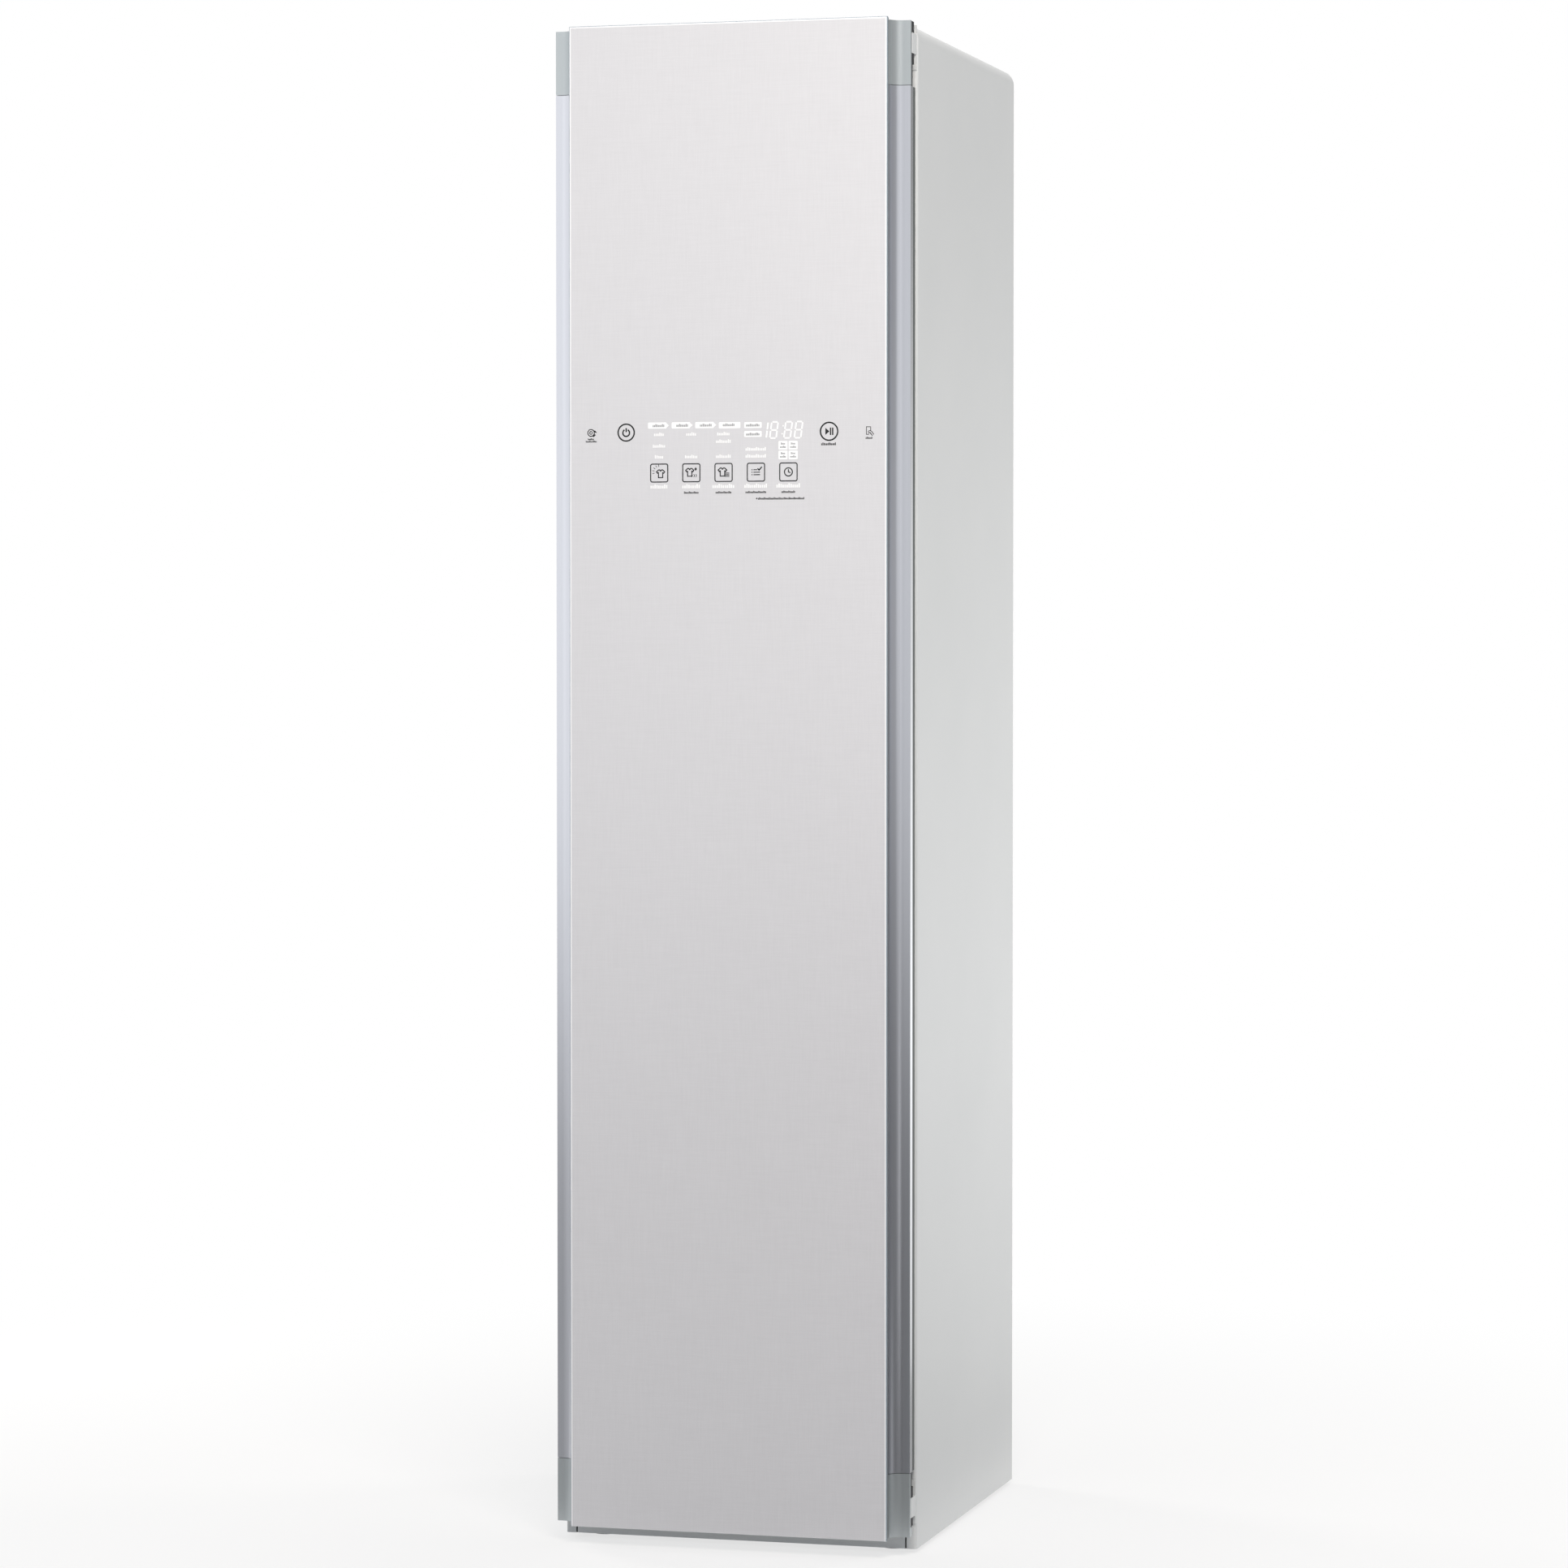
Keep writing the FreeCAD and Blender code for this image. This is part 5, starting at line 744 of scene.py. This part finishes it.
# Places on the glass in mm: x from its middle, z from the floor.
BUTTONS = [-85.1 + 40.5 * step for step in range(5)]
BUTTON_Z = 1305.8
BUTTON_HALF = 11.2
POWER = (-126.8, 1355.1)
START = (127.4, 1353.9)
HEARING_DIAL = (-171.4, 1355.2)
FINGER_TAP = (176.2, 1354.2)
STAGES = (-99.2, -69.4, -39.7)
DIGIT_Z = 1346.6
DIGIT_LEAN = 0.13
SQUARE_ROWS = (1321.0, 1332.6)


def draw_shirt(ink, x, z, size):
    """Garment outline: shoulders, two sleeves and a hem."""
    half = [(0.22, 1.0), (0.5, 1.0), (1.0, 0.55), (0.72, 0.2), (0.52, 0.4), (0.52, -0.8)]
    right = [(x + size * a, z + size * b) for a, b in half]
    left = [(x - size * a, z + size * b) for a, b in half]
    ink.line(right + left[::-1], 0.9)
    ink.line([left[0], (x, z + size * 0.7), right[0]], 0.9)


def draw_side_signs(ink):
    """The two small signs at the ends: a hearing dial and a finger tap."""
    ink.at(*HEARING_DIAL)
    ink.arc(0, 0, 4.1, 0.8)
    ink.arc(0, 0, 1.7, 0.7)
    ink.line([(4.4, 2.2), (6.4, 0.4)], 1.2)
    ink.line([(2.8, -4.4), (5.2, -2.4)], 1.2)
    ink.words(0, -7.6, 8, 1.7)
    ink.words(0.4, -10.4, 14, 1.7)
    ink.at(*FINGER_TAP)
    ink.line([(-2.6, 4.6), (2.6, 4.6), (2.6, -0.6)], 0.6)
    ink.line([(-2.6, 4.9), (-2.6, -4.4), (0.4, -4.4)], 0.6)
    ink.arc(1.6, -1.6, 1.7, 0.6, 60, 250)
    ink.line([(1.4, -1.8), (4.6, -5.8)], 0.8)
    ink.line([(3.4, -0.4), (6.4, -4.4)], 0.7)
    ink.words(0.6, -8.6, 8.4, 1.9)


def draw_fields(ink):
    """Dark ink: rings, button frames and all signs."""
    ink.at(*POWER)
    ink.arc(0, 0, 10.2, 1.3)
    ink.arc(0, -0.4, 4.2, 1.3, -240, 60)
    ink.line([(0, 1), (0, 5)], 1.3)
    ink.at(*START)
    ink.arc(0, 0, 10.7, 1.3)
    ink.fill([(0.4, 0), (-4.6, -4.2), (-4.6, 4.2)])
    ink.line([(1.8, -4), (1.8, 4)], 1.2)
    ink.line([(4.4, -4), (4.4, 4)], 1.2)
    ink.words(-0.5, -15, 18.5, 2.4)
    for x in BUTTONS:
        ink.at(x, BUTTON_Z)
        ink.outline(0, 0, BUTTON_HALF - 0.4, 2.2, 0.95)
    ink.at(BUTTONS[0], BUTTON_Z)
    draw_shirt(ink, 1.8, -1.4, 5.2)
    for angle in (95, 120, 145, 170, 195):
        a = math.radians(angle)
        ink.line([(reach * math.cos(a), 1.5 + reach * math.sin(a)) for reach in (6.3, 8.6)], 0.5)
    ink.at(BUTTONS[1], BUTTON_Z)
    draw_shirt(ink, -2, 0, 5.2)
    ink.fill([(5.4, 2.2), (7.2, 4.4), (5.4, 6.6), (3.6, 4.4)])
    for shift in (0.6, 3.2, 5.8):
        ink.line([(shift, -5), (shift + 0.8, -3.4), (shift, -1.8)], 0.6)
    ink.at(BUTTONS[2], BUTTON_Z)
    draw_shirt(ink, -1.4, 0, 5.4)
    for drop in (-0.6, -2, -3.4, -4.8):
        ink.line([(1.4, drop), (7, drop)], 0.6)
    ink.at(BUTTONS[3], BUTTON_Z)
    for drop, end in ((3, 1.2), (0, 4.8), (-3, 4.8)):
        ink.line([(-5.2, drop), (-4.6, drop)], 0.9)
        ink.line([(-2.8, drop), (end, drop)], 0.8)
    ink.line([(2.2, 4.2), (4, 2.6), (7.2, 6.2)], 1.1)
    ink.at(BUTTONS[4], BUTTON_Z)
    ink.arc(0, 0, 4.9, 1.0)
    ink.line([(0, 3), (0, 0), (2.4, -0.8)], 0.9)
    ink.at(0, 0)
    for x, width in zip(BUTTONS[1:], (18.5, 20, 26, 17)):
        ink.words(x, 1282, width, 2.0)
    ink.words(68, 1274.2, 58, 2.0)
    ink.fill([(36.2, 1274.2), (37.4, 1275.4), (38.6, 1274.2), (37.4, 1273)])
    draw_side_signs(ink)


def draw_digit(ink, x, parts):
    """Slanted seven-part figure of these strokes: t, m, l level; a, b upper; c, d lower."""
    wide, tall, stroke, gap = 8.0, 9.7, 1.7, 1.3
    spots = {"t": ((0, 2), (1, 2)), "m": ((0, 1), (1, 1)), "l": ((0, 0), (1, 0)),
             "a": ((0, 1), (0, 2)), "b": ((1, 1), (1, 2)), "c": ((0, 0), (0, 1)),
             "d": ((1, 0), (1, 1))}
    ink.at(x, DIGIT_Z)
    for part in parts:
        (x1, z1), (x2, z2) = spots[part]
        start, end = (x1 * wide, z1 * tall), (x2 * wide, z2 * tall)
        run = Vector((end[0] - start[0], end[1] - start[1])).normalized() * gap
        ends = (start[0] + run.x, start[1] + run.y), (end[0] - run.x, end[1] - run.y)
        ink.line([(a + DIGIT_LEAN * b, b) for a, b in ends], stroke)


def draw_windows(lamps):
    """White lamp windows: the stage row, the clock figures and four small squares."""
    for left in STAGES:
        lamps.rounded(left, 1359.4, left + 23.4, 1367.0, 1.2, 3.0)
    lamps.rounded(-10.1, 1358.9, 17.0, 1366.4, 1.2)
    lamps.rounded(21.7, 1358.9, 43.6, 1366.1, 1.2)
    lamps.rounded(21.7, 1348.2, 43.6, 1355.4, 1.2)
    draw_digit(lamps, 41.2, "bd")
    for left in (53.6, 71.2, 84.2):
        draw_digit(lamps, left, "tmlabcd")
    lamps.at(68.4, DIGIT_Z)
    for height in (5.0, 14.6):
        lamps.arc(DIGIT_LEAN * height, height, 0.45, 0.9)
    for left in (64.6, 77.2):
        for low in SQUARE_ROWS:
            lamps.at(left, low)
            lamps.rounded(0, 0, 11.2, 10.4, 0.8)


def draw_choice_rows(rows):
    """Fainter rows between the stage windows and the buttons, and one row under each button."""
    for column, z, width in ((0, 1352.6, 13), (0, 1338.6, 16), (0, 1325.4, 11), (1, 1352.6, 13),
                             (1, 1325.4, 16), (2, 1352.6, 16), (2, 1343.5, 19), (2, 1325.4, 19),
                             (3, 1333.8, 26), (3, 1325.4, 26)):
        rows.words(BUTTONS[column], z, width, 3.4)
    for centre, width in zip(BUTTONS, (22, 23, 28, 29, 30)):
        rows.words(centre, 1289.6, width, 4.0)


def draw_window_marks(shade):
    """Pale grey blocks inside the stage windows and the four small squares."""
    for left in (*STAGES, -11.0):
        shade.words(left + 13.5, 1363.1, 15, 2.6)
    for z in (1362.5, 1351.7):
        shade.words(32.6, z, 17, 2.6)
    for left in (70.2, 82.8):
        for low in SQUARE_ROWS:
            shade.words(left, low + 7.3, 5.5, 1.9)
            shade.words(left, low + 3.3, 7.5, 1.9)


# Screen-printed inks lie flat and dull on the glass: near black, two whites and a pale grey,
# which is printed over the white windows.
for name, draw, weight, layer, ink, pale, dark, rough in (
        ("display_fields", draw_fields, 1.4, INK,
         "dark_grey_screen_ink", "#1B1C1D", "#141516", 0.5),
        ("display_windows", draw_windows, 1.1, INK,
         "white_lamp_window", "#F4F5F6", "#EEEFF0", 0.35),
        ("display_choice_rows", draw_choice_rows, 1.25, INK,
         "translucent_white_ink", "#F0F1F2", "#EAEBEC", 0.35),
        ("display_window_marks", draw_window_marks, 1.35, OVERPRINT,
         "pale_grey_screen_ink", "#96989B", "#8B8D90", 0.4)):
    sheet = Sheet(weight, layer)
    draw(sheet)
    sheet.piece(name, surface(ink, pale, dark, rough, 0.5, 0.004))


# -------------------------------- trouser press
# The fixed board wears a heat-resistant cloth over thin felt: a plain weave about 1.5 mm
# between threads, drawn tight over rounded edges.

def woven_cloth(name, pale, dark, thread):
    """Plain weave of threads that far apart, in mm, seen in the X-Z plane."""
    material, tree, place = empty_material(name)
    where = add(tree, "ShaderNodeSeparateXYZ", {0: place})
    turns = math.pi / (thread * MM)
    waves = []
    for axis in (0, 2):
        phase = add(tree, "ShaderNodeMath", {0: where.outputs[axis], 1: turns},
                    operation="MULTIPLY")
        waves.append(add(tree, "ShaderNodeMath", {0: phase}, operation="SINE"))
    weave = add(tree, "ShaderNodeMath", {0: waves[0], 1: waves[1]}, operation="MULTIPLY")
    height = add(tree, "ShaderNodeMapRange",
                 {"Value": weave, "From Min": -1.0, "From Max": 1.0})
    tint = add(tree, "ShaderNodeMix", {0: height, 6: linear(dark), 7: linear(pale)},
               data_type="RGBA")
    close_material(tree, tint, 0.85, height, 0.25 * MM, 0.9, {"Sheen Weight": 0.3})
    return material


press_cloth = woven_cloth("heat_resistant_press_cloth", "#CFCBC2", "#B7B3A9", 1.5)


def press_cover():
    """Thin pad over the board: rolled edge, sewn channel and a low crown, closed at the back."""
    low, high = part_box("press_backing")
    corner = 10 * MM
    seam = 15 * MM
    roll_reach, groove_reach, crown_reach = 4.6 * MM, 1.3 * MM, 40 * MM
    edge_height, roll_height, crown_height, groove_depth = 1.2, 3.6, 1.3, 1.0
    # Grid lines crowd where the edge rolls over and at the sewn channel.
    near = [step * MM for step in (0, 0.6, 1.5, 3, 4.6, 7, 10, 12, 13.2, 14.1, 15, 15.9, 16.8,
                                   18, 21, 26, 34)]

    def lines(start, end):
        middle = evenly(start + near[-1] + 4 * MM, end - near[-1] - 4 * MM, 12 * MM)
        return [start + step for step in near] + middle + [end - step for step in near[::-1]]

    def spot(x, z):
        inset_x = min(x - low.x, high.x - x)
        inset_z = min(z - low.z, high.z - z)
        depth = min(inset_x, inset_z)
        if inset_x < corner and inset_z < corner:
            across, up = corner - inset_x, corner - inset_z
            pull = max(across, up) / max(math.hypot(across, up), 1e-9)
            x += math.copysign(across * (1 - pull), (low.x + high.x) / 2 - x)
            z += math.copysign(up * (1 - pull), (low.z + high.z) / 2 - z)
        roll = math.sqrt(max(0.0, 1 - (1 - min(depth / roll_reach, 1)) ** 2))
        crown = 1 - math.exp(-depth / crown_reach)
        groove = math.exp(-((depth - seam) / groove_reach) ** 2)
        wave = noise.noise(Vector((x, 0, z)) * 28) * 0.25 * crown
        rise = (edge_height + roll_height * roll + crown_height * crown
                - groove_depth * groove + wave)
        return Vector((x, low.y + rise * MM, z))

    mesh = bmesh.new()
    columns, rows = lines(low.x, high.x), lines(low.z, high.z)
    grid = [[mesh.verts.new(spot(x, z)) for x in columns] for z in rows]
    for lower, upper in zip(grid, grid[1:]):
        for index in range(len(columns) - 1):
            mesh.faces.new((lower[index + 1], lower[index], upper[index], upper[index + 1]))
    rim = (grid[0] + [row[-1] for row in grid[1:]] + grid[-1][-2::-1]
           + [row[0] for row in grid[-2:0:-1]])
    foot = [mesh.verts.new((vertex.co.x, low.y, vertex.co.z)) for vertex in rim]
    wall(mesh, rim, foot)
    mesh.faces.new(foot)
    bmesh.ops.recalc_face_normals(mesh, faces=mesh.faces)
    for face in mesh.faces:
        face.smooth = len(face.verts) == 4
    piece = fasten(from_mesh(mesh, "press_cover", press_cloth), "door")
    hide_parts("press_backing")
    # Spun thread is darker than the cloth and quite matt.
    sewing = surface("spun_polyester_thread", "#8E8B84", "#7D7A73", 0.8, 0.5, 0.05)
    stitch = thread_tree("sewn_stitches", sewing)
    size = {"Length": 3.4 * MM, "Radius": 0.45 * MM}
    pitch = 5 * MM
    height = low.y + 5.1 * MM
    left, right, down, top = low.x + seam, high.x - seam, low.z + seam, high.z - seam
    grow("press_stitches_upright", stitch, size,
         [(x, height, z) for x in (left, right) for z in evenly(down, top, pitch)],
         "door")
    grow("press_stitches_level", stitch, {**size, "Tip About Y": math.radians(90)},
         [(x, height, z) for z in (down, top) for x in evenly(left, right, pitch)],
         "door")


press_cover()


# -------------------------------- studio
# Pale floor, white surround and soft lights.  Metal shows a dark room low down and a bright one
# higher up, which the graded cards stand for; they light nothing.

FOCAL = 114.514
CAMERA = (1.6553, -6.0791, 1.1101)
CAMERA_TURN = 15.308
CAMERA_TILT = 1.684


def seen_white(tree):
    """1 for rays that show the background directly, in gloss or through glass."""
    path = add(tree, "ShaderNodeLightPath").outputs
    first = add(tree, "ShaderNodeMath",
                {0: path["Is Camera Ray"], 1: path["Is Glossy Ray"]}, operation="MAXIMUM")
    return add(tree, "ShaderNodeMath", {0: first, 1: path["Is Transmission Ray"]},
               operation="MAXIMUM")


def light_the_world():
    """Even grey surround that gloss, glass and the camera see as white."""
    world = bpy.data.worlds.new("studio")
    world.use_nodes = True
    tree = world.node_tree
    tree.nodes.clear()
    glow = add(tree, "ShaderNodeMix",
               {0: seen_white(tree), 6: linear("#7F858F"), 7: linear("#FFFFFF")},
               data_type="RGBA")
    sky = add(tree, "ShaderNodeBackground", {"Color": glow.outputs[2], "Strength": 1.0})
    add(tree, "ShaderNodeOutputWorld", {"Surface": sky})
    bpy.context.scene.world = world


def soft_light(name, spot, target, size, power, colour):
    """Rectangular softbox at spot, turned to target; size in metres, power in watts.

    Gloss shows the cards and not the lamps, so that the metal stays evenly bright.
    """
    data = bpy.data.lights.new(name, "AREA")
    data.shape = "RECTANGLE"
    data.size, data.size_y = size
    data.energy = power
    data.color = linear(colour)[:3]
    light = linked(name, data)
    light.location = spot
    light.rotation_euler = (Vector(target) - Vector(spot)).to_track_quat("-Z", "Y").to_euler()
    light.visible_glossy = False


def pale_floor():
    """Matt white floor that keeps the object's shadow and fades into the surround."""
    material, tree, place = empty_material("matt_white_floor")
    reach = add(tree, "ShaderNodeVectorMath", {0: place}, operation="LENGTH")
    fade = add(tree, "ShaderNodeMapRange",
               {"Value": reach.outputs["Value"], "From Min": 0.5, "From Max": 2.2,
                "To Min": 0.72, "To Max": 1.0}, interpolation_type="SMOOTHSTEP")
    least = add(tree, "ShaderNodeMath", {0: seen_white(tree), 1: 0.5}, operation="MAXIMUM")
    share = add(tree, "ShaderNodeMath", {0: fade, 1: least}, operation="MULTIPLY")
    grit = add(tree, "ShaderNodeTexNoise", {"Vector": place, "Scale": 300.0, "Detail": 2.0})
    tint = add(tree, "ShaderNodeMix", {0: grit, 6: linear("#EDEDED"), 7: linear("#E8E8E8")},
               data_type="RGBA")
    matt = add(tree, "ShaderNodeBsdfDiffuse", {"Color": tint.outputs[2]})
    glow = add(tree, "ShaderNodeEmission", {"Color": linear("#FFFFFF"), "Strength": 1.0})
    mix = add(tree, "ShaderNodeMixShader", {0: share, 1: matt, 2: glow})
    add(tree, "ShaderNodeOutputMaterial", {"Surface": mix})
    return material


def flat(corners):
    """One face with these corners."""
    mesh = bmesh.new()
    mesh.faces.new([mesh.verts.new(corner) for corner in corners])
    return mesh


def graded_card(name, corners, axis, stops):
    """Card seen in gloss alone; its grey runs through the stops (place, grey) along an axis."""
    start, end = stops[0][0], stops[-1][0]
    material, tree, place = empty_material(name)
    where = add(tree, "ShaderNodeSeparateXYZ", {0: place})
    run = add(tree, "ShaderNodeMapRange",
              {"Value": where.outputs[axis], "From Min": start, "From Max": end})
    ramp = add(tree, "ShaderNodeValToRGB", {0: run})
    marks = ramp.color_ramp.elements
    while len(marks) < len(stops):
        marks.new(0.5)
    for mark, (spot, grey) in zip(marks, stops):
        mark.position = (spot - start) / (end - start)
        mark.color = (grey * 0.97, grey * 0.985, grey, 1)
    glow = add(tree, "ShaderNodeEmission", {"Color": ramp, "Strength": 1.0})
    add(tree, "ShaderNodeOutputMaterial", {"Surface": glow})
    card = from_mesh(flat(corners), name, material)
    for rays in ("camera", "diffuse", "shadow", "transmission"):
        setattr(card, f"visible_{rays}", False)


def set_camera():
    """Long lens from the front right, tilted down a little."""
    data = bpy.data.cameras.new("camera")
    data.lens = FOCAL
    data.sensor_width = 36
    data.clip_end = 200
    camera = linked("camera", data)
    camera.location = CAMERA
    camera.rotation_euler = (math.radians(90 - CAMERA_TILT), 0, math.radians(CAMERA_TURN))
    bpy.context.scene.camera = camera


light_the_world()
soft_light("key_light", (1.1, -2.6, 2.6), (0.05, -0.3, 1.3), (1.3, 1.3), 79, "#FFF8F0")
soft_light("side_light", (2.7, 2.2, 1.05), (0.2, 0.1, 1.0), (1.0, 0.9), 56, "#FFFAF2")
soft_light("left_fill", (-2.6, 1.7, 1.2), (-0.2, 0.1, 0.95), (1.0, 1.0), 60, "#FFFAF2")
soft_light("top_fill", (0, 0.1, 3.4), (0, 0.1, 1.8), (0.4, 0.5), 16, "#FFFAF2")
# Cards that stand round the object; their greys run up from the floor.
CARD_FOOT, CARD_TOP = 0.01, 2.6
for name, (x1, y1, x2, y2), stops in (
        ("rear_card", (0.35, 1.2, 1.6, 0.9),
         ((0.0, 0.7), (0.3, 1.0), (0.55, 1.2), (0.95, 0.95), (1.35, 0.65), (1.8, 0.3))),
        ("right_card", (1.6, 0.9, 1.7, -1.4), ((0.25, 0.12), (0.6, 0.24), (1.1, 0.5), (1.7, 0.35))),
        ("right_front_card", (1.7, -1.4, 1.9, -4.6),
         ((0.25, 0.12), (0.6, 0.3), (1.1, 0.9), (1.7, 0.75))),
        ("left_card", (-1.9, 0.5, -1.9, -1.7), ((0.1, 0.34), (0.4, 0.62), (0.8, 1.05), (1.5, 1.0))),
        ("front_left_card", (-1.9, -1.7, -0.45, -1.8),
         ((0.15, 0.2), (0.4, 0.5), (0.72, 1.15), (1.6, 1.12))),
        ("front_right_card", (-0.45, -1.8, 0.35, -1.9),
         ((0.25, 0.06), (0.5, 0.15), (0.85, 0.68), (1.6, 0.7))),
        ("middle_front_card", (0.35, -1.9, 1.75, -4.4),
         ((0.25, 0.1), (0.5, 0.2), (0.85, 0.95), (1.6, 0.9)))):
    graded_card(name, [(x1, y1, CARD_FOOT), (x2, y2, CARD_FOOT), (x2, y2, CARD_TOP),
                       (x1, y1, CARD_TOP)], 2, stops)
# Cards that lie just over the floor; their greys run across it.
CARD_LIFT = 0.004
for name, (x1, y1, x2, y2), stops in (
        ("front_floor_card", (-1.9, -1.9, 1.7, -0.36),
         ((-1.2, 0.5), (-0.45, 0.42), (0.0, 0.16), (0.6, 0.12), (1.6, 0.25))),
        ("right_floor_card", (0.3, -0.36, 1.7, 1.2), ((0.3, 0.35), (1.6, 0.6)))):
    graded_card(name, [(x, y, CARD_LIFT) for x, y in ((x1, y1), (x2, y1), (x2, y2), (x1, y2))],
                0, stops)
FLOOR_EDGE = 40.0
floor = from_mesh(flat([(x * FLOOR_EDGE, y * FLOOR_EDGE, 0) for x, y in
                        ((-1, -1), (1, -1), (1, 1), (-1, 1))]), "floor", pale_floor())
set_camera()
bpy.context.scene.view_settings.view_transform = "Standard"
